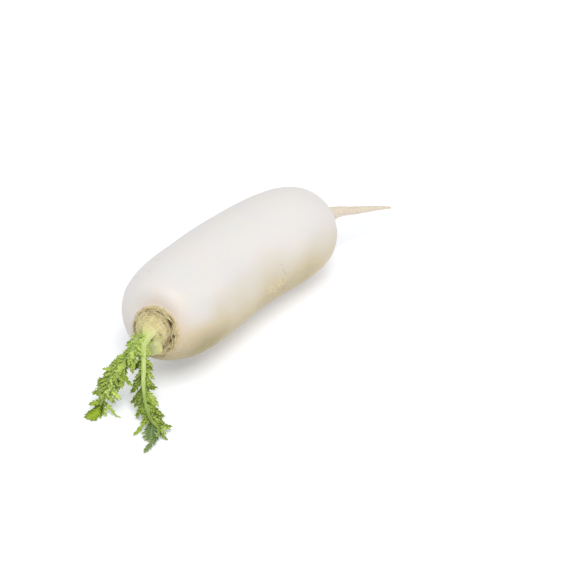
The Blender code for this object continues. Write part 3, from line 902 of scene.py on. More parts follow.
def crown_tint(board, noises, tint):
    """Over the body's tint: cream and green on the dome, tan on the lip, then strokes and painted shade in
    the hollows.
    """
    streaks, arcs, threads = noises["streaks"], noises["arcs"], noises["threads"]
    cream = board.mix(streaks["Mask"], colour(0.665, 0.575, 0.275), colour(0.740, 0.670, 0.365))
    cream = board.mix(board.times(arcs["Mask"], 0.35), cream, colour(0.610, 0.490, 0.230))
    leafy = board.mix(streaks["Mask"], colour(0.600, 0.630, 0.200), colour(0.700, 0.740, 0.310))
    cream = board.mix(board.attribute("green"), cream, leafy)
    tint = board.mix(board.attribute("dome"), tint, cream)
    tan = board.mix(arcs["Mask"], colour(0.50, 0.37, 0.150), colour(0.72, 0.60, 0.33))
    tan = board.mix(board.times(threads["Mask"], 0.45), tan, colour(0.76, 0.66, 0.40))
    tint = board.mix(board.attribute("collar"), tint, tan)
    stroked = board.times(noises["strokes"]["Mask"], board.attribute("strokes"))
    tint = board.mix(stroked, tint, colour(0.340, 0.235, 0.095))
    # Painted shade: near-black brown in the groove, the gaps and the hollows under the rims.
    shade_in_hollows = board.mix(threads["Mask"], colour(0.050, 0.028, 0.010), colour(0.17, 0.110, 0.038))
    return board.mix(board.span(board.attribute("cavity"), 0.22, 0.90), tint, shade_in_hollows)


# %% The skin's relief and finish


def skin_relief(board, noises):
    """A fine grain all over, and a rugged relief on the lip and the dome."""
    collar = board.attribute("collar")
    grain = board.maths("ADD", board.times(noises["fine"]["Height"], 0.25), noises["rings"]["Height"])
    fine = board.bump(0.35, 0.00022, grain)
    lip = board.times(board.maths("ADD", noises["threads"]["Height"], noises["arcs"]["Height"]), collar)
    dome = board.times(noises["streaks"]["Height"], board.attribute("dome"))
    return board.bump(0.9, 0.0006, board.maths("ADD", lip, dome), fine)


def make_skin_material():
    material, board, shader = new_material("radish_skin")
    noises = skin_noises(board)
    rough = board.from_noise(noises["fine"]["Height"], 0.40, 0.52)
    on_collar = board.times(board.attribute("collar"), 0.3)
    board.fill(shader, {
        "Base Color": crown_tint(board, noises, body_tint(board, noises)),
        "Roughness": board.maths("ADD", rough, on_collar, clamp=True),
        "Normal": skin_relief(board, noises),
        "Subsurface Weight": 0.30,
        "Subsurface Radius": (1.0, 0.75, 0.50),
        "Subsurface Scale": 0.004,
        "Specular IOR Level": 0.38,
    })
    return material


# %% Making the root's skin


def make_skin():
    skin = Skin()
    top = CROWN_FRAMES[-1][1] + CROWN_FRAMES[-1][4] * 0.1
    add_crown(skin)
    add_body(skin)
    tip = add_tail(skin)
    rows = len(skin.points) // SKIN_AROUND
    faces = skin_rings(SKIN_AROUND, rows)
    faces += fan(len(skin.points), list(range(SKIN_AROUND)), False)
    skin.add(top, dome=1.0, green=1.0)
    last = (rows - 1) * SKIN_AROUND
    faces += fan(len(skin.points), list(range(last, last + SKIN_AROUND)), True)
    skin.add(tip, tail=1.0)
    piece = make_piece("root_skin", skin.points, faces, skin.painted, make_skin_material())
    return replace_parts(piece, "radish_root")


root_skin = make_skin()

# %% [markdown]
# ## Torn leaf bases round the dome
#
# When a leaf is pulled off, a thin curved rim of its base stays behind. Many of them stand round the
# dome like the scales of a bulb, pale at the edge and brown at the foot. Each is a small closed
# strip that follows a ring of the crown, with a ragged upper edge. Their places are seeded draws,
# thicker on the side where the photo shows the lip wide.

# %% Places on the crown


def crown_place(number, angle, out=0.0):
    """A point on the crown at a ring number and an angle, with its outward and facing directions."""
    index = min(int(round(number * CROWN_FINENESS)), len(CROWN_FRAMES) - 1)
    _, centre, across, upright, facing, radius = CROWN_FRAMES[index]
    outward = spoke(across, upright, angle)
    reach = radius + crown_shape(number, angle) + out
    return centre + outward * reach, outward, facing


def draw_crown_angle(rng, thick_side, thin_side, thick_share):
    """A seeded angle round the crown, drawn oftener from the side where the lip is thick."""
    side = thick_side if rng.random() < thick_share else thin_side
    return math.radians(rng.uniform(*side))


# %% Thin closed sheets


class Grid:
    """A sheet's middle points, row by row, with the numbers painted on each."""

    def __init__(self):
        self.rows = []
        self.paints = []

    def new_row(self):
        self.rows.append([])
        self.paints.append([])

    def add(self, point, **paint):
        self.rows[-1].append(point)
        self.paints[-1].append(paint)


class Sheets:
    """Many thin closed sheets gathered in one mesh."""

    def __init__(self, *labels):
        self.points = []
        self.faces = []
        self.painted = {label: [] for label in labels}

    def add(self, grid, half):
        """Wraps a grid of middle points into a closed sheet. On its lower face "under" is 1."""
        start = len(self.points)
        rows = grid.rows
        last_row, last_column = len(rows) - 1, len(rows[0]) - 1
        upper, lower = [], []
        for row in range(last_row + 1):
            for column in range(last_column + 1):
                ahead = rows[min(row + 1, last_row)][column] - rows[max(row - 1, 0)][column]
                aside = rows[row][min(column + 1, last_column)] - rows[row][max(column - 1, 0)]
                normal = ahead.cross(aside).normalized()
                thick = half(row, column) if callable(half) else half
                upper.append(rows[row][column] + normal * thick)
                lower.append(rows[row][column] - normal * thick)
        self.points += upper + lower
        self.faces += sheet_faces(last_row + 1, last_column + 1, start)
        for label, values in self.painted.items():
            for under in (0.0, 1.0):
                for row in grid.paints:
                    values += [under if label == "under" else paint[label] for paint in row]


def sheet_faces(rows, columns, start):
    """Both faces of a sheet, and the rim between them."""
    faces = []
    under = rows * columns
    for row in range(rows - 1):
        for column in range(columns - 1):
            a = start + row * columns + column
            b, c, d = a + 1, a + columns + 1, a + columns
            faces += [(a, d, c, b), (under + a, under + b, under + c, under + d)]
    rim = list(range(columns))
    rim += [row * columns + columns - 1 for row in range(1, rows)]
    rim += [(rows - 1) * columns + column for column in reversed(range(columns - 1))]
    rim += [row * columns for row in reversed(range(1, rows - 1))]
    for one, two in zip(rim, rim[1:] + rim[:1]):
        faces.append((start + one, start + two, start + under + two, start + under + one))
    return faces


# %% One scale
SCALE_SEGMENTS = 22
SCALE_ROWS = 4
SCALE_THICKNESS = 0.28
SCALE_FOOT_DEPTH = 0.25
SCALE_SINK = 0.3
BRIGHT_SCALE_RISEN = 0.5


def add_scale(sheets, number, angle, half_turn, height, lean, seed, bright=False):
    """One torn leaf base: a curved strip on the crown with a ragged edge."""
    tone = 1.0 if bright else noise.noise(Vector((seed * 7.7, 0, 0))) + 0.5
    least_risen = BRIGHT_SCALE_RISEN if bright else 0.0
    grid = Grid()
    for row in range(SCALE_ROWS):
        risen = row / (SCALE_ROWS - 1)
        grid.new_row()
        for segment in range(SCALE_SEGMENTS + 1):
            s = 2 * segment / SCALE_SEGMENTS - 1
            torn = 1 + 0.45 * noise.noise(Vector((seed * 3.1, s * 5, 0)))
            torn += 0.25 * noise.noise(Vector((seed, s * 14, 1)))
            tall = height * max(0.06, 1 - abs(s) ** 2.5) * torn * risen
            foot, outward, facing = crown_place(number, angle + half_turn * s, -SCALE_FOOT_DEPTH)
            tip = outward * math.sin(lean) + facing * math.cos(lean)
            curl = outward * (0.25 * height * risen ** 2 * noise.noise(Vector((seed, 2.0, s))))
            point = foot + tip * tall + curl - facing * SCALE_SINK
            grid.add(point, risen=max(least_risen, risen), tone=tone)
    sheets.add(grid, SCALE_THICKNESS / 2)


# %% The scales' finish


def make_scale_material():
    material, board, shader = new_material("torn_leaf_base")
    place = board.object_place()
    threads = board.group(FIBRES, Place=place, Stretch=EVEN_STRETCH, Scale=1100.0, Low=0.36, High=0.62)
    tone = board.maths("ADD", board.attribute("tone"), board.times(threads["Mask"], 0.35), clamp=True)
    rim = board.mix(tone, colour(0.54, 0.40, 0.18), colour(0.88, 0.82, 0.52))
    foot = board.mix(threads["Mask"], colour(0.13, 0.075, 0.025), colour(0.36, 0.25, 0.10))
    board.fill(shader, {
        "Base Color": board.mix(board.span(board.attribute("risen"), 0.05, 0.62), foot, rim),
        "Normal": board.bump(0.6, 0.0003, threads["Height"]),
        "Roughness": board.from_noise(threads["Height"], 0.55, 0.8),
        "Subsurface Weight": 0.12,
        "Subsurface Radius": (1.0, 0.7, 0.3),
        "Subsurface Scale": 0.001,
    })
    return material


# %% Placing the scales
SCALE_SEED = 5
SCALE_COUNT = 104
SCALE_SIDES = ((110, 300), (-60, 110), 0.66)
SCALE_RINGS = (0.8, 4.2)
SCALE_HALF_TURNS = (7, 21)
SCALE_HEIGHTS = (0.9, 2.2)
SCALE_LEANS = (-8, 44)
SCALE_FREE_GAP = 0.45

# Each large scale on the dome is a ring number, an angle and a half-turn in degrees, and a height
DOME_SCALES = (
    (6.7, 171, 29, 1.6),
    (5.6, 204, 26, 1.7),
    (4.6, 228, 18, 1.6),
    (5.8, 140, 16, 1.2),
)
DOME_SCALE_LEAN = 0.6
WRINKLE_COUNT = 16
WRINKLE_SIDE = (-20, 125)
WRINKLE_HALF_TURNS = (6, 15)
WRINKLE_RINGS = (4.4, 6.6)
WRINKLE_HEIGHTS = (0.5, 0.9)
WRINKLE_LEAN = 0.3


def make_scales():
    rng = random.Random(SCALE_SEED)
    sheets = Sheets("risen", "tone")
    first, last = SCALE_RINGS
    for seed in range(SCALE_COUNT):
        angle = draw_crown_angle(rng, *SCALE_SIDES)
        number = rng.uniform(first, last + lip_reach(angle))
        half_turn = math.radians(rng.uniform(*SCALE_HALF_TURNS))
        height = rng.uniform(*SCALE_HEIGHTS) * (1.15 - 0.09 * number)
        lean = math.radians(rng.uniform(*SCALE_LEANS))
        if gap_depth(number, angle) < SCALE_FREE_GAP:
            add_scale(sheets, number, angle, half_turn, height, lean, seed)
    for number, degrees, half_degrees, height in DOME_SCALES:
        angle = math.radians(degrees)
        half_turn = math.radians(half_degrees)
        add_scale(sheets, number, angle, half_turn, height, DOME_SCALE_LEAN, degrees, True)
    for seed in range(WRINKLE_COUNT):
        angle = math.radians(rng.uniform(*WRINKLE_SIDE))
        half_turn = math.radians(rng.uniform(*WRINKLE_HALF_TURNS))
        number = rng.uniform(*WRINKLE_RINGS)
        height = rng.uniform(*WRINKLE_HEIGHTS)
        add_scale(sheets, number, angle, half_turn, height, WRINKLE_LEAN, seed)
    material = make_scale_material()
    return make_piece("torn_leaf_bases", sheets.points, sheets.faces, sheets.painted, material)


torn_bases = make_scales()

# %% [markdown]
# ## Fibres and fine rootlets
#
# Frayed fibres stick out of the lip, thin rootlets grow from the tail, and a few are left in the
# rough patch. A curve object would do, but many tiny tubes in one mesh are lighter, and each can
# taper to a hair. Every strand starts just inside the skin, so none floats.

# %% Strands


class Strands:
    """Many thin tapering tubes gathered in one mesh."""

    sides = 5

    def __init__(self):
        self.points = []
        self.faces = []
        self.tone = []

    def add(self, path, thick, thin, tone):
        start = len(self.points)
        for number, place in enumerate(path):
            ahead = path[min(number + 1, len(path) - 1)] - path[max(number - 1, 0)]
            side = ahead.cross(Vector((0.3, 0.5, 0.81))).normalized()
            other = ahead.cross(side).normalized()
            share = number / (len(path) - 1)
            radius = thick + (thin - thick) * share
            for step in range(self.sides):
                angle = math.tau * step / self.sides
                self.points.append(ring_point(place, side, other, radius, angle))
                self.tone.append(tone)
        ring = list(range(start, start + self.sides))
        last = start + (len(path) - 1) * self.sides
        self.faces += [tuple(reversed(face)) for face in skin_rings(self.sides, len(path), start)]
        self.faces.append(tuple(ring))
        self.faces.append(tuple(reversed(range(last, last + self.sides))))


def strand_path(rng, start, heading, length, droop, crinkle, pieces=9):
    """A wandering path that sets off one way and bends down."""
    path = [start]
    for _ in range(pieces):
        stray = Vector((rng.gauss(0, crinkle), rng.gauss(0, crinkle), rng.gauss(0, crinkle)))
        heading = (heading + stray - UP * droop).normalized()
        following = path[-1] + heading * (length / pieces)
        following.z = max(following.z, 0.35)
        path.append(following)
    return path


# %% Where the strands grow
STRAND_SEED = 17
STRAND_TIP = 0.03
FRAY_COUNT = 220
FRAY_SIDES = ((100, 310), (-50, 100), 0.62)
TAIL_ROOTLET_COUNT = 12
PATCH_ROOTLET_COUNT = 30
PATCH_CLOSE_COUNT = 18


def add_frays(strands, rng):
    """Frayed fibres along the lip, most of them lying back over it."""
    for _ in range(FRAY_COUNT):
        angle = draw_crown_angle(rng, *FRAY_SIDES)
        start, outward, facing = crown_place(rng.uniform(0.3, 3.4), angle, -0.2)
        heading = outward * rng.uniform(0.2, 1.0) + facing * rng.uniform(0.0, 0.7)
        heading += facing.cross(outward) * rng.gauss(0, 0.9)
        path = strand_path(rng, start, heading.normalized(), rng.uniform(1.2, 3.6), 0.03, 0.22, 6)
        strands.add(path, rng.uniform(0.10, 0.20), STRAND_TIP, rng.random())


def add_tail_rootlets(strands, rng):
    """Thin rootlets off the tail, bending down."""
    for _ in range(TAIL_ROOTLET_COUNT):
        _, centre, across, upright, radius, along = rng.choice(TAIL_FRAMES[8:-6])
        outward = spoke(across, upright, rng.uniform(0, math.tau))
        start = centre + outward * (radius - 0.15)
        heading = (outward + along * rng.uniform(0.2, 0.9)).normalized()
        path = strand_path(rng, start, heading, rng.uniform(2.5, 8.0), 0.10, 0.13)
        strands.add(path, rng.uniform(0.08, 0.16), STRAND_TIP, rng.uniform(0.5, 1.0))


def add_patch_rootlets(strands, rng):
    """Short rootlets left in the rough patch and a few along the near side."""
    for number in range(PATCH_ROOTLET_COUNT):
        spread = 1.0 if number < PATCH_CLOSE_COUNT else 2.6
        t = (SCAR_PATCH.x + spread * rng.gauss(0, 8.0)) / (BODY_LENGTH / 2)
        point, outward = body_point(t, math.pi + math.radians(rng.gauss(4, 9)))
        heading = (outward + Vector((rng.gauss(0, 0.7), 0, rng.gauss(-0.3, 0.5)))).normalized()
        path = strand_path(rng, point - outward * 0.4, heading, rng.uniform(1.5, 4.5), 0.08, 0.16, 7)
        strands.add(path, rng.uniform(0.10, 0.17), STRAND_TIP, rng.uniform(0.3, 1.0))


# %% The strands' finish


def make_strand_material():
    material, board, shader = new_material("fine_rootlets")
    place = board.object_place()
    threads = board.group(FIBRES, Place=place, Stretch=EVEN_STRETCH, Scale=700.0, Low=0.35, High=0.65)
    tone = board.times(board.attribute("tone"), board.from_noise(threads["Height"], 0.6, 1.0))
    board.fill(shader, {
        "Base Color": board.mix(tone, colour(0.26, 0.16, 0.06), colour(0.76, 0.66, 0.43)),
        "Roughness": board.from_noise(threads["Height"], 0.6, 0.8),
    })
    return material


def make_strands():
    rng = random.Random(STRAND_SEED)
    strands = Strands()
    add_frays(strands, rng)
    add_tail_rootlets(strands, rng)
    add_patch_rootlets(strands, rng)
    painted = {"tone": strands.tone}
    material = make_strand_material()
    return make_piece("fibres_and_rootlets", strands.points, strands.faces, painted, material)


fine_strands = make_strands()

# %% [markdown]
# ## The two leaves
#
# Each leaf is a long stalk with toothed leaflets along both hands. The stalk's corners, the rows of
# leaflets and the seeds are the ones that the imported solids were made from, so every fine leaflet
# lies where its solid does. Only the drawing gets finer.

# %% The leaves' corners and rows
STALK_STATIONS = 41
STALK_FLATNESS = 0.8
STALK_TAPER_POWER = 0.7
FOOT_SWELLING = 0.35
FOOT_REACH = 0.06
CURVE_PIECES = 24

LEFT_LEAF = {
    "name": "leaf_left",
    "seed": 14,
    "stalk": (
        (-105.2, -33.6, 48.9),
        (-107.9, -34.3, 48.2),
        (-112.6, -36.4, 44.2),
        (-119.9, -38.4, 39.5),
        (-131.0, -37.0, 31.5),
        (-138.3, -37.4, 22.0),
        (-143.0, -38.2, 12.5),
        (-146.0, -38.2, 7.0),
    ),
    "faces": (Vector((-0.5, -0.6, 0.6)), Vector((-0.5, -0.35, 0.8))),
    "stalk_radii": (2.0, 0.9),
    "rises": (-26, 14),
    "rows": (
        (1, 15, 0.06, 0.93, (9.5, 11.5, 11.5), 0.23, 34, 42),
        (-1, 11, 0.14, 0.80, (15.0, 18.0, 12.0), 0.18, 42, 44),
    ),
    "stand_outs": (
        (-1, 0.49, 18.0, 0.16, 84, 8, 14, 10),
        (-1, 0.66, 16.5, 0.21, 50, 12, 14, 20),
        (-1, 0.93, 20.0, 0.13, 64, -6, 4, 30),
        (-1, 0.965, 14.0, 0.34, 26, -4, 10, 20),
        (0, 0.985, 23.5, 0.29, 0, 4, -6, 8),
    ),
    "webs": ((1, 0.06, 0.95, 6.8, -22, 26), (-1, 0.15, 0.95, 6.4, -14, 40)),
}
FRONT_LEAF = {
    "name": "leaf_front",
    "seed": 23,
    "stalk": (
        (-100.6, -41.0, 58.0),
        (-102.9, -42.0, 58.9),
        (-105.7, -42.5, 57.0),
        (-107.1, -42.3, 52.0),
        (-109.3, -43.5, 43.0),
        (-114.4, -49.7, 31.0),
        (-118.5, -54.3, 22.0),
        (-121.9, -60.1, 15.5),
        (-124.9, -67.6, 10.0),
        (-126.6, -76.1, 6.5),
        (-125.8, -83.5, 4.8),
        (-131.5, -87.8, 3.4),
    ),
    "faces": (Vector((-0.5, -0.6, 0.6)), Vector((-0.45, -0.3, 0.85))),
    "stalk_radii": (2.4, 0.9),
    "rises": (-36, -2),
    "rows": (
        (-1, 14, 0.18, 0.93, (8.5, 16.0, 10.5), 0.18, 20, 42),
        (1, 10, 0.22, 0.74, (14.0, 17.0, 11.0), 0.17, 22, 38),
    ),
    "stand_outs": (
        (1, 0.76, 21.0, 0.12, 56, -2, 4, 10),
        (1, 0.83, 17.5, 0.44, 44, 2, 4, -6),
        (1, 0.985, 17.5, 0.19, 10, 0, 4, 10),
    ),
    "webs": ((-1, 0.24, 0.95, 5.6, -52, -14), (1, 0.20, 0.88, 5.8, -56, -20)),
}

# %% A smooth path through the corners


def curve_through(corners):
    """A smooth curve through the corners, as many short pieces."""
    corners = [Vector(corner) for corner in corners]
    ends = [corners[0] * 2 - corners[1]] + corners + [corners[-1] * 2 - corners[-2]]
    fine = []
    for number in range(1, len(ends) - 2):
        before, start, stop, after = ends[number - 1:number + 3]
        for piece in range(CURVE_PIECES):
            s = piece / CURVE_PIECES
            slope = (stop - before) * s
            bend = (2 * before - 5 * start + 4 * stop - after) * s ** 2
            swing = (3 * start - before - 3 * stop + after) * s ** 3
            fine.append(start + 0.5 * (slope + bend + swing))
    fine.append(corners[-1])
    return fine


def even_path(corners, count):
    """Evenly spaced points on the smooth curve through the corners."""
    fine = curve_through(corners)
    lengths = [0.0]
    for start, stop in zip(fine, fine[1:]):
        lengths.append(lengths[-1] + (stop - start).length)
    path = []
    place = 0
    for number in range(count):
        wanted = lengths[-1] * number / (count - 1)
        while place < len(fine) - 2 and lengths[place + 1] < wanted:
            place += 1
        share = (wanted - lengths[place]) / (lengths[place + 1] - lengths[place])
        path.append(fine[place].lerp(fine[place + 1], min(1.0, share)))
    return path, lengths[-1]


class Stalk:
    """A leaf's stalk: a smooth path with a radius and an upper face at each share of its length."""

    def __init__(self, leaf):
        self.path, self.length = even_path(leaf["stalk"], STALK_STATIONS)
        self.faces = leaf["faces"]
        self.radii = leaf["stalk_radii"]

    def at(self, share):
        """The place, the direction and the upper face at a share of the length."""
        spot = min(max(share, 0.0), 1.0) * (STALK_STATIONS - 1)
        number = min(int(spot), STALK_STATIONS - 2)
        place = self.path[number].lerp(self.path[number + 1], spot - number)
        low = max(0, number - 1)
        high = min(STALK_STATIONS - 1, number + 2)
        heading = (self.path[high] - self.path[low]).normalized()
        face = self.faces[0].lerp(self.faces[1], share)
        face = (face - heading * face.dot(heading)).normalized()
        return place, heading, face

    def radius(self, share):
        """The half-width at a share of the length."""
        thick, thin = self.radii
        swelling = FOOT_SWELLING * thick * math.exp(-((share / FOOT_REACH) ** 2))
        return thick + (thin - thick) * share ** STALK_TAPER_POWER + swelling


STALKS = {leaf["name"]: Stalk(leaf) for leaf in (LEFT_LEAF, FRONT_LEAF)}
for leaf_name, leaf_stalk in STALKS.items():
    print(leaf_name, "stalk is", round(leaf_stalk.length, 1), "mm long")

# %% [markdown]
# ## The stalks
#
# A radish stalk is a pale, ribbed gutter: round below, with a shallow groove above. At its foot it
# widens into a sheath that lies over the dome and clasps it. The fine stalk starts a little inside
# the dome, climbs over it along a few corners, and then follows the solid's stalk to its tip. Its
# cross-section is a thin bowed strip at first, and closes into the round stalk on the way.

# %% The stalks' course over the dome
STALK_FINE_RINGS = 170
COURSE_CORNERS = 15
JOIN_SHARES = {"leaf_left": 0.08, "leaf_front": 0.20}
DOME_ROOT_RING = 4
DOME_WIDE = 13.0
DOME_TALL = 8.0

# Each corner on the dome is a ring number, an angle in degrees and a height over the skin
DOME_CORNERS = {
    "leaf_left": ((8.9, 322, -2.0), (8.7, 326, -0.4)),
    "leaf_front": ((7.0, 98, -2.2), (8.1, 100, -1.1), (9.1, 103, 0.2)),
}


def dome_normal(point):
    """The direction straight off the dome at a point, as if it were a flattened ball."""
    _, middle, _, _, facing, _ = CROWN_FRAMES[DOME_ROOT_RING * CROWN_FINENESS]
    offset = point - middle
    level = max(0.0, offset.dot(facing))
    flat = offset - facing * offset.dot(facing)
    return (flat / DOME_WIDE ** 2 + facing * (level / DOME_TALL ** 2)).normalized()


def stalk_course(name):
    """Even places from inside the dome, over it and down the solid's stalk, and the length."""
    stalk = STALKS[name]
    join = JOIN_SHARES[name]
    corners = []
    for number, degrees, height in DOME_CORNERS[name]:
        point, _, _ = crown_place(number, math.radians(degrees))
        corners.append(point + dome_normal(point) * height)
    for step in range(COURSE_CORNERS):
        place, _, _ = stalk.at(join + (1 - join) * step / (COURSE_CORNERS - 1))
        corners.append(place)
    return even_path(corners, STALK_FINE_RINGS)


# %% The stalks' tubes
STALK_AROUND = 32
RIB_COUNT = 9
RIB_HEIGHT = 0.10
GROOVE_DEPTH = 0.30
SHEATH_FLARES = {"leaf_left": 1.0, "leaf_front": 5.0}
SHEATH_ASIDES = {"leaf_left": 0.0, "leaf_front": 2.2}
SHEATH_REACHES = {"leaf_left": 9.0, "leaf_front": 21.0}
SHEATH_THINNESS = 0.5
SHEATH_RAGGED = 0.9
SHEATH_SINK = 1.45


def sheath_rim(open_share, aside, spot):
    """How far a sheath has faded into the dome's cream: at its upper end and toward its right side."""
    stray = 0.16 * noise.noise(spot * 0.5)
    upper = smooth_step((open_share - 0.60 + stray) / 0.30)
    right = smooth_step((-aside - 0.45 + stray) / 0.50) * smooth_step(open_share * 4)
    return max(upper, 0.4 * right)


def add_stalk(points, faces, painted, name):
    """The stalk as a ribbed tube that opens into a sheath over the dome, added to a growing mesh."""
    stalk = STALKS[name]
    path, length = stalk_course(name)
    start = len(points)
    for number, place in enumerate(path):
        along = length * number / (STALK_FINE_RINGS - 1)
        share = max(0.0, 1 - (length - along) / stalk.length)
        heading = (path[min(number + 1, len(path) - 1)] - path[max(number - 1, 0)]).normalized()
        open_share = 1 - smooth_step(along / SHEATH_REACHES[name])
        _, _, stalk_face = stalk.at(share)
        off_dome = dome_normal(place)
        clasping = smooth_step(open_share * 1.3) * (1 - abs(off_dome.dot(heading)))
        face = stalk_face.lerp(off_dome, clasping)
        face = (face - heading * face.dot(heading)).normalized()
        side = heading.cross(face)
        torn = SHEATH_RAGGED * noise.noise(Vector((along * 0.7, 3.0, 0.0))) * open_share
        wide = stalk.radius(max(share, 0.08)) + (SHEATH_FLARES[name] + torn) * open_share
        tall = STALK_FLATNESS * stalk.radius(share) * (1 - SHEATH_THINNESS * open_share)
        for step in range(STALK_AROUND):
            angle = -math.tau * step / STALK_AROUND
            rib = RIB_HEIGHT * math.cos(RIB_COUNT * angle + 0.3 * math.sin(along * 0.3))
            groove = GROOVE_DEPTH * tall * bump_at(math.sin(angle), 1.0, 0.25) * (1 - open_share)
            across = (wide + rib) * math.cos(angle) - SHEATH_ASIDES[name] * open_share
            deep = (tall + rib) * math.sin(angle) - groove
            deep -= open_share * across ** 2 / (2 * DOME_WIDE) * (SHEATH_SINK if across < 0 else 1.0)
            points.append(place + side * across + face * deep)
            painted["along"].append(share * stalk.length)
            painted["open"].append(open_share)
            painted["rim"].append(sheath_rim(open_share, math.cos(angle), Vector((across, along, 7.0))))
            painted["round"].append(Vector((across, deep, along)))
    faces += skin_rings(STALK_AROUND, STALK_FINE_RINGS, start)
    last = start + (STALK_FINE_RINGS - 1) * STALK_AROUND
    faces.append(tuple(reversed(range(start, start + STALK_AROUND))))
    faces.append(tuple(range(last, last + STALK_AROUND)))


# %% The stalks' finish


def make_stalk_material(name, green_from, green_to, low_cream, high_cream):
    """Pale ribs with greener grooves, cream where the sheath joins the dome, darker to the tip."""
    material, board, shader = new_material(name)
    around = board.place_from("round")
    ribs = board.group(FIBRES, Place=around, Stretch=(1.0, 1.0, 0.045), Scale=1.9, Low=0.40, High=0.62)
    soft = board.group(PATCHES, Place=around, Scale=0.35, Detail=3.0, Low=0.42, High=0.62)
    pale = board.mix(ribs["Mask"], colour(0.515, 0.625, 0.185), colour(0.690, 0.775, 0.340))
    pale = board.mix(board.maths("MULTIPLY", soft["Mask"], 0.35), pale, colour(0.455, 0.590, 0.130))
    green = board.mix(ribs["Mask"], colour(0.165, 0.265, 0.035), colour(0.380, 0.500, 0.110))
    tint = board.mix(board.span(board.attribute("along"), green_from, green_to), pale, green)
    cream = board.mix(ribs["Mask"], low_cream, high_cream)
    tint = board.mix(board.span(board.attribute("open"), 0.08, 0.60), tint, cream)
    tan = board.mix(soft["Mask"], colour(0.685, 0.600, 0.285), colour(0.735, 0.665, 0.355))
    tint = board.mix(board.span(board.attribute("rim"), 0.0, 1.0, 0.0, 0.92), tint, tan)
    board.put(shader.inputs["Base Color"], tint)
    board.put(shader.inputs["Roughness"], board.span(ribs["Height"], 0.3, 0.7, 0.40, 0.56))
    ribbed = board.maths("MULTIPLY", ribs["Height"], board.span(board.attribute("open"), 0.05, 0.5, 1.0, 0.3))
    bump = board.node("ShaderNodeBump", {"Strength": 0.6, "Distance": 0.0004, "Height": ribbed})
    board.put(shader.inputs["Normal"], bump.outputs["Normal"])
    shader.inputs["Subsurface Weight"].default_value = 0.20
    shader.inputs["Subsurface Radius"].default_value = (0.7, 1.0, 0.35)
    shader.inputs["Subsurface Scale"].default_value = 0.0012
    return material


# %% Making the stalks
GREEN_SPANS = {"leaf_left": (-8.0, 18.0), "leaf_front": (40.0, 58.0)}
STALK_CREAMS = (colour(0.655, 0.665, 0.250), colour(0.715, 0.735, 0.325))


def make_stalk(name):
    points, faces = [], []
    painted = {"along": [], "open": [], "rim": [], "round": []}
    add_stalk(points, faces, painted, name)
    material = make_stalk_material(name + "_stalk_finish", *GREEN_SPANS[name], *STALK_CREAMS)
    return make_piece(name + "_stalk", points, faces, painted, material)


stalk_pieces = [make_stalk(name) for name in STALKS]

# %% [markdown]
# ## The sheath on the low side
#
# Under the front stalk a second, broader leaf base covers the low side of the dome and bridges the
# groove to the lip. It could be painted on the dome, but its free lower edge casts a small shadow
# that paint can't. So it is one closed sheet that follows the crown's rings at a small height. It
# lies in the dome's shade, so its cream is made lighter than the stalks': painted light.

# %% The low sheath
LOW_SHEATH_FIRST_RING = 8.8
LOW_SHEATH_BRIDGE_RINGS = (6.2, 1.7)
LOW_SHEATH_ROWS = 56
LOW_SHEATH_COLUMNS = 37
LOW_SHEATH_MIDDLE_DEG = 258.0
LOW_SHEATH_HALF_TURNS = (56.0, 30.0)
LOW_SHEATH_HEIGHT = 0.9
LOW_SHEATH_BULGE = 0.9
LOW_SHEATH_OPEN = 0.6
LOW_SHEATH_ROUNDING = 0.3
# The low sheath's creams are lighter than the stalks': painted light, since the dome shades it.
LOW_SHEATH_LIT_CREAMS = (colour(0.860, 0.860, 0.370), colour(0.920, 0.920, 0.490))
SHEET_HALF = 0.16


def low_sheath_place(number, angle, height, bulge):
    """A place on the low sheath: over the dome's skin, then straight across the groove to the lip."""
    start, stop = LOW_SHEATH_BRIDGE_RINGS
    point, outward, facing = crown_place(max(number, start), angle)
    if number < start:
        across = (start - number) / (start - stop)
        far, _, _ = crown_place(stop, angle)
        point = point.lerp(far, across) + outward * (bulge * math.sin(math.pi * min(1.0, across)))
    return point + outward * (0.5 * height) + facing * (0.8 * height)


def make_low_sheath():
    """A pale leaf base over the dome's low side, sunk in at its sides and free at its lower edge, with
    painted light in its cream.
    """
    sheets = Sheets("along", "open", "rim", "round")
    grid = Grid()
    lowest = LOW_SHEATH_BRIDGE_RINGS[1]
    for row in range(LOW_SHEATH_ROWS):
        share = row / (LOW_SHEATH_ROWS - 1)
        narrow, wide = LOW_SHEATH_HALF_TURNS
        half_turn = narrow + (wide - narrow) * share
        grid.new_row()
        for column in range(LOW_SHEATH_COLUMNS):
            s = 2 * column / (LOW_SHEATH_COLUMNS - 1) - 1
            torn = 0.8 * share * noise.noise(Vector((s * 5, 2.0, 0.0)))
            reach = share * (1 - LOW_SHEATH_ROUNDING * s ** 2)
            number = LOW_SHEATH_FIRST_RING + (lowest - LOW_SHEATH_FIRST_RING) * reach + torn
            crest = 1 - s ** 4
            height = LOW_SHEATH_HEIGHT * crest * smooth_step(share * 5) - 0.3
            angle = math.radians(LOW_SHEATH_MIDDLE_DEG + half_turn * s)
            point = low_sheath_place(number, angle, height, LOW_SHEATH_BULGE * crest)
            from_side = min(column, LOW_SHEATH_COLUMNS - 1 - column) / (LOW_SHEATH_COLUMNS - 1)
            rim = 1 - smooth_step(from_side * 4)
            spot = (9 * s, 0.0, 3 * number)
            grid.add(point, along=0.0, open=LOW_SHEATH_OPEN, rim=rim, round=spot)
    sheets.add(grid, SHEET_HALF)
    material = make_stalk_material("low_sheath_lit_finish", *GREEN_SPANS["leaf_front"], *LOW_SHEATH_LIT_CREAMS)
    return make_piece("low_sheath", sheets.points, sheets.faces, sheets.painted, material)


low_sheath = make_low_sheath()

# %% [markdown]
# ## Drawing the leaflets
#
# A row of leaflets is a rule: where it starts and ends on the stalk, how long its leaflets are and
# how they lean. The draws are made in the same order as for the solids, so the two agree. Small
# extra lobes between the leaflets use a draw of their own and fill the rows out, as on a real leaf.

# %% The leaflets' draws


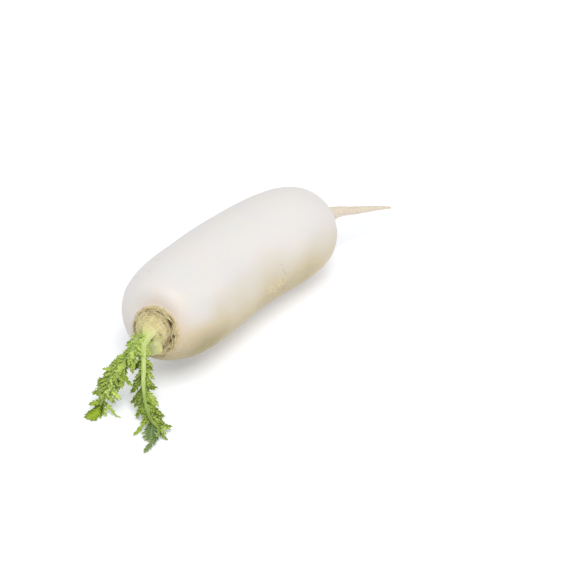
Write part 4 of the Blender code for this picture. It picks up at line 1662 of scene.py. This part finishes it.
def leaflet_draws(leaf):
    """Where each leaflet sits and how it is shaped, by a rule with seeded draws."""
    rng = random.Random(leaf["seed"])
    draws = []
    for hand, count, first, last, lengths, width, lean_first, lean_last in leaf["rows"]:
        start, middle, end = lengths
        for number in range(count):
            rank = number / (count - 1)
            length = start + (end - start) * rank + (middle - (start + end) / 2) * math.sin(math.pi * rank)
            length *= rng.uniform(0.85, 1.15)
            draws.append({
                "hand": hand,
                "share": first + (last - first) * rank + rng.uniform(-0.015, 0.015),
                "length": length,
                "width": length * width * rng.uniform(0.9, 1.15),
                "lean": math.radians(lean_first + (lean_last - lean_first) * rank + rng.uniform(-9, 9)),
                "rise": math.radians(rng.uniform(*leaf["rises"])),
                "curl": math.radians(rng.uniform(-12, 38)),
                "sweep": math.radians(rng.uniform(-25, 10)) * hand,
                "twist": math.radians(rng.uniform(-34, 34)),
                "fold": rng.uniform(0.15, 0.70),
                "wave": rng.uniform(0.5, 1.0),
                "waves": rng.uniform(1.2, 2.0),
                "phase": rng.uniform(0.4, 2.4),
            })
    for hand, share, length, width, lean, rise, curl, twist in leaf["stand_outs"]:
        draws.append({
            "hand": hand,
            "share": share,
            "length": length,
            "width": length * width,
            "lean": math.radians(lean),
            "rise": math.radians(rise),
            "curl": math.radians(curl),
            "sweep": 0.0,
            "twist": math.radians(twist),
            "fold": 0.22,
            "wave": 0.6,
            "waves": 1.6,
            "phase": rng.uniform(0.4, 2.4),
        })
    return draws


LOBE_RISES = {"leaf_left": (0, 50), "leaf_front": (-24, 16)}


def small_lobes(leaf):
    """Small lobes between the leaflets, raised off them on both hands."""
    rng = random.Random(leaf["seed"] + 100)
    draws = []
    for hand, count, first, last, lengths, _, lean_first, lean_last in leaf["rows"]:
        for number in range(count * 2):
            rank = (number + 0.5) / (count * 2)
            length = lengths[1] * rng.uniform(0.36, 0.66)
            low_rise, high_rise = LOBE_RISES[leaf["name"]]
            draws.append({
                "hand": hand,
                "share": first + (last - first) * rank + rng.uniform(-0.01, 0.01),
                "length": length,
                "width": length * rng.uniform(0.13, 0.22),
                "lean": math.radians(lean_first + (lean_last - lean_first) * rank + rng.uniform(-20, 20)),
                "rise": math.radians(rng.uniform(low_rise, high_rise)),
                "curl": math.radians(rng.uniform(0, 75)),
                "sweep": math.radians(rng.uniform(-35, 25)) * hand,
                "twist": math.radians(rng.uniform(-70, 70)),
                "fold": rng.uniform(0.2, 0.7),
                "wave": rng.uniform(0.3, 0.8),
                "waves": rng.uniform(1.2, 2.4),
                "phase": rng.uniform(0.4, 2.4),
            })
    return draws


# Each clump of lobes at a stalk's foot is a hand, a count, its first and last share, the lobes'
# least and greatest length, and the least and greatest rise in degrees
FOOT_LOBES = {
    "leaf_left": (
        (1, 9, 0.01, 0.10, 4.0, 6.5, 0, 50),
        (-1, 16, 0.01, 0.26, 6.0, 11.5, -14, 46),
        (-1, 12, 0.10, 0.52, 10.0, 14.5, -14, 26),
    ),
    "leaf_front": ((-1, 11, 0.15, 0.25, 5.5, 8.5, -34, 4), (1, 15, 0.10, 0.26, 6.0, 10.5, -36, 6)),
}
# Foot lobes get less of the painted shade and a lighter tone.
FOOT_LOBE_BRIGHT = 0.85


def foot_lobes(leaf):
    """Short bright lobes that crowd round a stalk's foot and hide it."""
    rng = random.Random(leaf["seed"] + 200)
    draws = []
    for hand, count, first, last, shortest, longest, low_rise, high_rise in FOOT_LOBES[leaf["name"]]:
        for number in range(count):
            length = rng.uniform(shortest, longest)
            draws.append({
                "hand": hand,
                "share": first + (last - first) * number / (count - 1),
                "length": length,
                "width": length * rng.uniform(0.15, 0.26),
                "lean": math.radians(rng.uniform(18, 66)),
                "bright": FOOT_LOBE_BRIGHT,
                "rise": math.radians(rng.uniform(low_rise, high_rise)),
                "curl": math.radians(rng.uniform(10, 80)),
                "sweep": math.radians(rng.uniform(-35, 25)) * hand,
                "twist": math.radians(rng.uniform(-60, 60)),
                "fold": rng.uniform(0.2, 0.7),
                "wave": rng.uniform(0.3, 0.8),
                "waves": rng.uniform(1.2, 2.4),
                "phase": rng.uniform(0.4, 2.4),
            })
    return draws


# %% [markdown]
# ## A leaflet's form
#
# Each leaflet is a sheet folded along its midrib. Its outline has a few large forward teeth, each
# cut into smaller ones. The edge is longer than the middle, so it ruffles, and the blade is puckered
# between its veins. Where a leaf meets the table it lies along it.

# %% The outline
SMALL_LEAFLET = 9.5
TEETH_START = 0.14
TEETH_SPAN = 0.74
NOTCH_BEHIND = 0.06
NOTCH_WIDTH = 0.60
SERRATION_DEPTH = 0.34
SERRATION_STEP = 1.25


def lobe_width(share):
    """The half-width of a smooth lobe, widest past its middle."""
    return math.sin(math.pi * min(1.0, 0.16 + 0.80 * share)) ** 0.7


def leaflet_outline(teeth):
    """Shares of the length with the half-width there: forward-pointing teeth on a lobe."""
    outline = [(0.0, 0.42), (0.10, 0.52)]
    for tooth in range(teeth):
        point = TEETH_START + TEETH_SPAN * (tooth + 0.8) / teeth
        notch = point + NOTCH_BEHIND
        outline.append((point, lobe_width(point)))
        outline.append((notch, NOTCH_WIDTH * lobe_width(notch)))
    outline.append((1.0, 0.05))
    return outline


def width_at(outline, share, length, side):
    """The half-width at a share of the length, with the large teeth cut into small ones."""
    for (start, one), (stop, two) in zip(outline, outline[1:]):
        if share <= stop:
            width = one + (two - one) * smooth_step((share - start) / (stop - start))
            break
    step = (share * length / SERRATION_STEP + 0.37 * side) % 1.0
    cut = SERRATION_DEPTH * (1 - step) * smooth_step(share * 8) * smooth_step((1 - share) * 8)
    return width * (1 - cut)


# %% The sheet
GROUND_FROM = 3.0
GROUND_LEAST = 0.9
FOOT_BELOW = 0.35
FORWARD_TEETH = 0.55
RUFFLE_HEIGHT = 0.75
RUFFLE_STEP = 2.5
PUCKER_HEIGHT = 0.34
BLADE_HALF = 0.13
RIB_HALF = 0.17
ROLLED_SHADE = 0.4


def leaflet_turn(share, draw):
    """How the leaflet's frame has turned by a share of its length."""
    swept = Matrix.Rotation(draw["sweep"] * share, 3, "Z")
    curled = Matrix.Rotation(draw["curl"] * share, 3, "Y")
    twisted = Matrix.Rotation(draw["twist"] * share, 3, "X")
    return swept @ curled @ twisted


def leaflet_midrib(draw):
    """The midrib's places at even shares of the length, in the leaflet's own frame."""
    places = [Vector((0, 0, 0))]
    for piece in range(CURVE_PIECES):
        heading = leaflet_turn((piece + 0.5) / CURVE_PIECES, draw) @ Vector((1, 0, 0))
        places.append(places[-1] + heading * (draw["length"] / CURVE_PIECES))
    return places


def leaflet_frame(stalk, draw):
    """Places a leaflet on its stalk: out to its side, leaning toward the leaf's tip."""
    place, heading, face = stalk.at(draw["share"])
    outward = heading.cross(face) * draw["hand"]
    along = heading * math.cos(draw["lean"]) + outward * math.sin(draw["lean"])
    along = (along * math.cos(draw["rise"]) + face * math.sin(draw["rise"])).normalized()
    normal = (face - along * face.dot(along)).normalized()
    across = normal.cross(along)
    foot = place - face * (FOOT_BELOW * stalk.radius(draw["share"]))
    return foot, Matrix((along, across, normal)).transposed()


def kept_above_ground(point):
    """Lays along the surface what would hang below it."""
    if point.z < GROUND_FROM:
        depth = GROUND_FROM - GROUND_LEAST
        point.z = GROUND_LEAST + depth * math.exp((point.z - GROUND_FROM) / depth)
    return point


def blade_lift(draw, share, v, half, seed):
    """How far the blade rises off its plane, and how deep in a crease it is, from 0 to 1."""
    swing = math.sin(draw["waves"] * math.tau * share + draw["phase"] * (1 + v))
    wave = draw["wave"] * abs(v) ** 1.5 * swing * smooth_step(share * 3)
    along = share * draw["length"]
    side = 1.9 if v > 0 else 0.0
    stray = 2.2 * noise.noise(Vector((along * 0.5, side, seed)))
    swell = math.sin(math.tau * along / RUFFLE_STEP + side + stray)
    ruffle = RUFFLE_HEIGHT * swell * abs(v) ** 1.7 * min(1.7, half / 1.8) * smooth_step(share * 5)
    crumple = noise.noise(Vector((along * 0.8, v * half * 1.0, seed)))
    pucker = PUCKER_HEIGHT * crumple * (1 - bump_at(v, 0, 0.25)) * min(1.0, half / 1.4)
    crease = max(0.0, -swell) * (0.3 + 0.7 * abs(v)) + max(0.0, -crumple) * 0.9
    return draw["fold"] * abs(v) * half + wave + ruffle + pucker, min(1.0, crease)


def leaflet_shade(draw, share):
    """How much painted shade a leaflet gets by its place: near the stalk, and where it hangs under the
    others.
    """
    inner = 0.55 * smooth_step((0.34 - share) * 3.5)
    hanging = 0.40 * smooth_step((-math.degrees(draw["rise"]) - 4) / 26)
    return (inner + hanging) * (1 - draw.get("bright", 0.0))


def add_leaflet(sheets, stalk, draw, seed, rows_count, columns, tone):
    """One fine leaflet, wrapped into a closed thin blade with a midrib."""
    outline = leaflet_outline(2 if draw["length"] < SMALL_LEAFLET else 3)
    places = leaflet_midrib(draw)
    foot, turned = leaflet_frame(stalk, draw)
    grid = Grid()
    for row in range(rows_count):
        grid.new_row()
        share = row / (rows_count - 1)
        spot = share * CURVE_PIECES
        number = min(int(spot), CURVE_PIECES - 1)
        middle = places[number].lerp(places[number + 1], spot - number)
        turn = leaflet_turn(share, draw)
        for column in range(columns):
            v = 2 * column / (columns - 1) - 1
            v = math.copysign(abs(v) ** 0.85, v)
            half = draw["width"] * width_at(outline, share, draw["length"], 1 if v > 0 else 0)
            ahead = FORWARD_TEETH * half * abs(v) ** 1.6 * smooth_step((1 - share) * 3)
            lift, crease = blade_lift(draw, share, v, half, seed)
            point = middle + turn @ Vector((ahead, v * half, lift))
            rolled = ROLLED_SHADE * abs(v) ** 4 if draw["hand"] == 0 else 0.0
            grid.add(
                kept_above_ground(foot + turned @ point),
                leaf_place=(share * draw["length"], v * half, seed),
                tone=tone,
                # shade: painted shade near the stalk, under other leaflets, in creases and on the terminal
                # blade's rolled edges
                shade=min(1.0, leaflet_shade(draw, share) + 0.6 * crease + rolled),
                # edge: a painted highlight toward the blade's outer edge
                edge=abs(v) ** 3 * (1 - crease) if draw["hand"] else 0.0,
            )

    def half_thickness(row, column):
        share = row / (rows_count - 1)
        aside = grid.paints[row][column]["leaf_place"][1]
        return BLADE_HALF + RIB_HALF * (1 - share) * bump_at(aside, 0, 0.3)

    sheets.add(grid, half_thickness)


# %% [markdown]
# ## The web of blade between the leaflets
#
# Near the stalk the leaflets of a young leaf aren't parted: a narrow ruffled strip of blade runs
# along each side and joins their feet. It is one long sheet a side, with small forward teeth. It
# rises and falls slowly along the stalk, and faster at its edge, which is longer than its root.

# %% The web
WEB_ROWS = 190
WEB_COLUMNS = 9
WEB_TOOTH_STEP = 3.1
WEB_TOOTH_DEPTH = 0.5
WEB_FORWARD = 0.9
WEB_RUFFLE_STEP = 4.3


def add_web(sheets, leaf, hand, first, last, width, low_rise, high_rise, tones):
    """One side's web: a long ruffled strip with forward teeth."""
    stalk = STALKS[leaf["name"]]
    seed = leaf["seed"] + 5 * hand
    low_tone, high_tone = tones
    grid = Grid()
    for row in range(WEB_ROWS):
        grid.new_row()
        rank = row / (WEB_ROWS - 1)
        share = first + (last - first) * rank
        along = share * stalk.length
        place, heading, face = stalk.at(share)
        slow = noise.noise(Vector((along * 0.13, seed, 0.0)))
        tooth = (along / WEB_TOOTH_STEP + 0.8 * noise.noise(Vector((along * 0.3, seed, 4.0)))) % 1.0
        ends = smooth_step(rank * 9) * smooth_step((1 - rank) * 7)
        wide = width * ends * (0.85 + 0.5 * slow) * (1 - WEB_TOOTH_DEPTH * (1 - tooth))
        rise = math.radians(low_rise + (high_rise - low_rise) * (0.5 + 0.9 * slow))
        aside = heading.cross(face) * (hand * math.cos(rise)) + face * math.sin(rise)
        normal = aside.cross(heading).normalized() * hand
        stray = 2.4 * noise.noise(Vector((along * 0.4, seed, 8.0)))
        patch = 0.5 + 0.9 * noise.noise(Vector((along * 0.25, seed, 6.0)))
        for column in range(WEB_COLUMNS):
            q = column / (WEB_COLUMNS - 1)
            swell = math.sin(math.tau * along / WEB_RUFFLE_STEP + stray + q)
            crumple = noise.noise(Vector((along * 0.9, q * wide, seed)))
            lift = min(1.0, wide / 3) * (1.3 * swell * q ** 1.5 + 0.5 * crumple * q)
            point = place + (aside + heading * WEB_FORWARD) * (q * wide) + normal * lift
            crease = min(1.0, max(0.0, -swell) * q + max(0.0, -crumple))
            grid.add(
                kept_above_ground(point - face * (FOOT_BELOW * stalk.radius(share))),
                leaf_place=(along, q * wide * hand, seed),
                tone=clamped(low_tone + (high_tone - low_tone) * patch),
                # shade: painted shade near the stalk and in the creases
                shade=min(1.0, 0.55 * (1 - q) + 0.65 * crease),
                # edge: a painted highlight toward the web's outer edge
                edge=q ** 4 * (1 - crease),
            )
    sheets.add(grid, BLADE_HALF)


# %% [markdown]
# ## The blade's finish
#
# Young radish leaves are yellow-green and thin enough to glow. Each leaflet has its own tone, from
# bright to olive, and the front leaf's last blades are dull and bluish. Side veins slant from the
# midrib to the teeth: they are stripes of the leaflet's own coordinates, which were painted on its points.
# Painted shade darkens the blades near the stalk, in their creases and where they hang under the
# others, and one hand of the front leaf is painted olive as shade. The outer edges get a painted highlight.

# %% The blade's colour and veins


def make_vein_mask(board, place):
    """A mask that is 1 on the midrib and the slanting side veins."""
    parts = board.node("ShaderNodeSeparateXYZ", {0: place}).outputs
    aside = board.maths("ABSOLUTE", parts["Y"])
    midrib = board.span(aside, 0.10, 0.42, 1.0, 0.0)
    slanted = board.maths("SUBTRACT", board.times(parts["X"], 0.62), board.times(aside, 0.75))
    stripe = board.maths("PINGPONG", slanted, 0.5)
    side = board.span(stripe, 0.0, 0.13, 0.55, 0.0)
    return board.maths("MAXIMUM", midrib, side), stripe


def make_blade_material():
    material, board, shader = new_material("leaf_blade")
    place = board.place_from("leaf_place")
    veins, stripe = make_vein_mask(board, place)
    mottled = board.group(PATCHES, Place=place, Scale=0.55, Detail=3.0, Low=0.40, High=0.62)
    cells = board.group(PATCHES, Place=place, Scale=3.2, Detail=2.0, Low=0.36, High=0.62)
    tone = board.attribute("tone")
    green = board.mix(board.span(tone, 0.0, 0.5), colour(0.115, 0.183, 0.003), colour(0.340, 0.465, 0.028))
    green = board.mix(board.span(tone, 0.5, 1.0), green, colour(0.670, 0.820, 0.180))
    green = board.mix(board.maths("MULTIPLY", mottled["Mask"], 0.35), green, colour(0.470, 0.620, 0.075))
    green = board.mix(board.maths("MULTIPLY", cells["Mask"], 0.20), green, colour(0.110, 0.180, 0.010))
    dull = board.mix(cells["Mask"], colour(0.100, 0.160, 0.060), colour(0.190, 0.265, 0.110))
    green = board.mix(board.span(tone, -0.5, -1.0), green, dull)
    paler = board.mix(board.times(board.attribute("under"), 0.20), green, colour(0.38, 0.49, 0.15))
    lined = board.mix(board.times(veins, 0.40), paler, colour(0.57, 0.71, 0.24))
    # A painted highlight: pale yellow-green on the blades' outer edges.
    lined = board.mix(board.times(board.attribute("edge"), 0.60), lined, colour(0.75, 0.87, 0.42))
    # Painted shade: the blade turns deep green where its painted shade number is high.
    deep = board.span(board.attribute("shade"), 0.13, 0.84, 0.0, 0.95)
    height = board.maths("ADD", board.times(stripe, 0.8), board.times(cells["Height"], 0.6))
    board.fill(shader, {
        "Base Color": board.mix(deep, lined, colour(0.058, 0.098, 0.002)),
        "Roughness": board.from_noise(cells["Height"], 0.45, 0.64),
        "Normal": board.bump(0.55, 0.0004, height),
        "Specular IOR Level": 0.06,
        "Subsurface Weight": 0.10,
        "Subsurface Radius": (0.5, 1.0, 0.12),
        "Subsurface Scale": 0.0008,
    })
    return material


# %% Making the leaves' blades
BLADE_MATERIAL = make_blade_material()
LEAFLET_ROWS = 58
LEAFLET_COLUMNS = 15
LOBE_ROWS = 24
LOBE_COLUMNS = 9
DULL_BLADE = 17.5
TERMINAL_TONE = 0.52
# The front leaf's web on hand 1 is painted darker as shade.
WEB_TONES = {
    ("leaf_left", 1): (0.4, 1.0),
    ("leaf_left", -1): (0.4, 1.0),
    ("leaf_front", -1): (0.2, 0.8),
    ("leaf_front", 1): (0.0, 0.45),
}


def leaflet_tone(leaf, draw, rng):
    """Bright on the left leaf, olive as painted shade on one hand of the front leaf, dull on its two last
    blades.
    """
    if leaf is FRONT_LEAF and draw["length"] == DULL_BLADE:
        return -1.0
    if leaf is LEFT_LEAF and draw["hand"] == 0:
        return TERMINAL_TONE
    if leaf is LEFT_LEAF:
        base = 0.68
    else:
        # On the front leaf, hand 1's low tone is painted shade.
        base = (0.16 if draw["hand"] > 0 else 0.56) + 0.5 * smooth_step((0.30 - draw["share"]) * 8)
    base += 0.2 * draw.get("bright", 0.0)
    return min(1.0, max(0.0, base + rng.uniform(-0.42, 0.42)))


def make_blades(leaf):
    rng = random.Random(leaf["seed"] + 300)
    stalk = STALKS[leaf["name"]]
    sheets = Sheets("leaf_place", "tone", "under", "shade", "edge")
    for number, draw in enumerate(leaflet_draws(leaf)):
        tone = leaflet_tone(leaf, draw, rng)
        add_leaflet(sheets, stalk, draw, number * 3.7, LEAFLET_ROWS, LEAFLET_COLUMNS, tone)
    for number, draw in enumerate(small_lobes(leaf) + foot_lobes(leaf)):
        tone = min(1.0, leaflet_tone(leaf, draw, rng) + 0.15)
        add_leaflet(sheets, stalk, draw, 400 + number * 2.3, LOBE_ROWS, LOBE_COLUMNS, tone)
    for hand, first, last, width, low_rise, high_rise in leaf["webs"]:
        add_web(sheets, leaf, hand, first, last, width, low_rise, high_rise, WEB_TONES[leaf["name"], hand])
    piece = make_piece(leaf["name"] + "_blades", sheets.points, sheets.faces, sheets.painted,
                       BLADE_MATERIAL)
    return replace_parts(piece, leaf["name"])


blade_pieces = [make_blades(leaf) for leaf in (LEFT_LEAF, FRONT_LEAF)]

# %% [markdown]
# ## The floor
#
# The floor is a plain pale sheet, wide enough to fill the view. It is staging and not part of the
# radish. A faint grain keeps it from being one flat colour. It glows very
# little, like the light table of a product photo, which keeps the shadow under the root open.

# %% The floor
FLOOR_HALF = 3000.0
FLOOR_GLOW = 0.24


def make_floor():
    material, board, shader = new_material("pale_floor")
    place = board.node("ShaderNodeTexCoord").outputs["Object"]
    faint = board.group(PATCHES, Place=place, Scale=14.0, Detail=3.0, Low=0.3, High=0.7)
    tint = board.mix(faint["Mask"], colour(0.845, 0.850, 0.875), colour(0.865, 0.870, 0.890))
    board.put(shader.inputs["Base Color"], tint)
    shader.inputs["Roughness"].default_value = 0.7
    shader.inputs["Specular IOR Level"].default_value = 0.15
    shader.inputs["Emission Color"].default_value = (0.84, 0.88, 1.0, 1.0)
    shader.inputs["Emission Strength"].default_value = FLOOR_GLOW
    half = FLOOR_HALF * MM
    corners = [(half * x, half * y, 0) for x, y in ((-1, -1), (1, -1), (1, 1), (-1, 1))]
    mesh = bpy.data.meshes.new("floor")
    mesh.from_pydata(corners, [], [(0, 1, 2, 3)])
    mesh.materials.append(material)
    floor = bpy.data.objects.new("floor", mesh)
    bpy.context.scene.collection.objects.link(floor)
    return floor


floor = make_floor()

# %% [markdown]
# ## The end
#
# The dressed radish must keep the imported model's size. Last, the scene is brought up to date.

# %% The finish
bpy.context.view_layer.update()
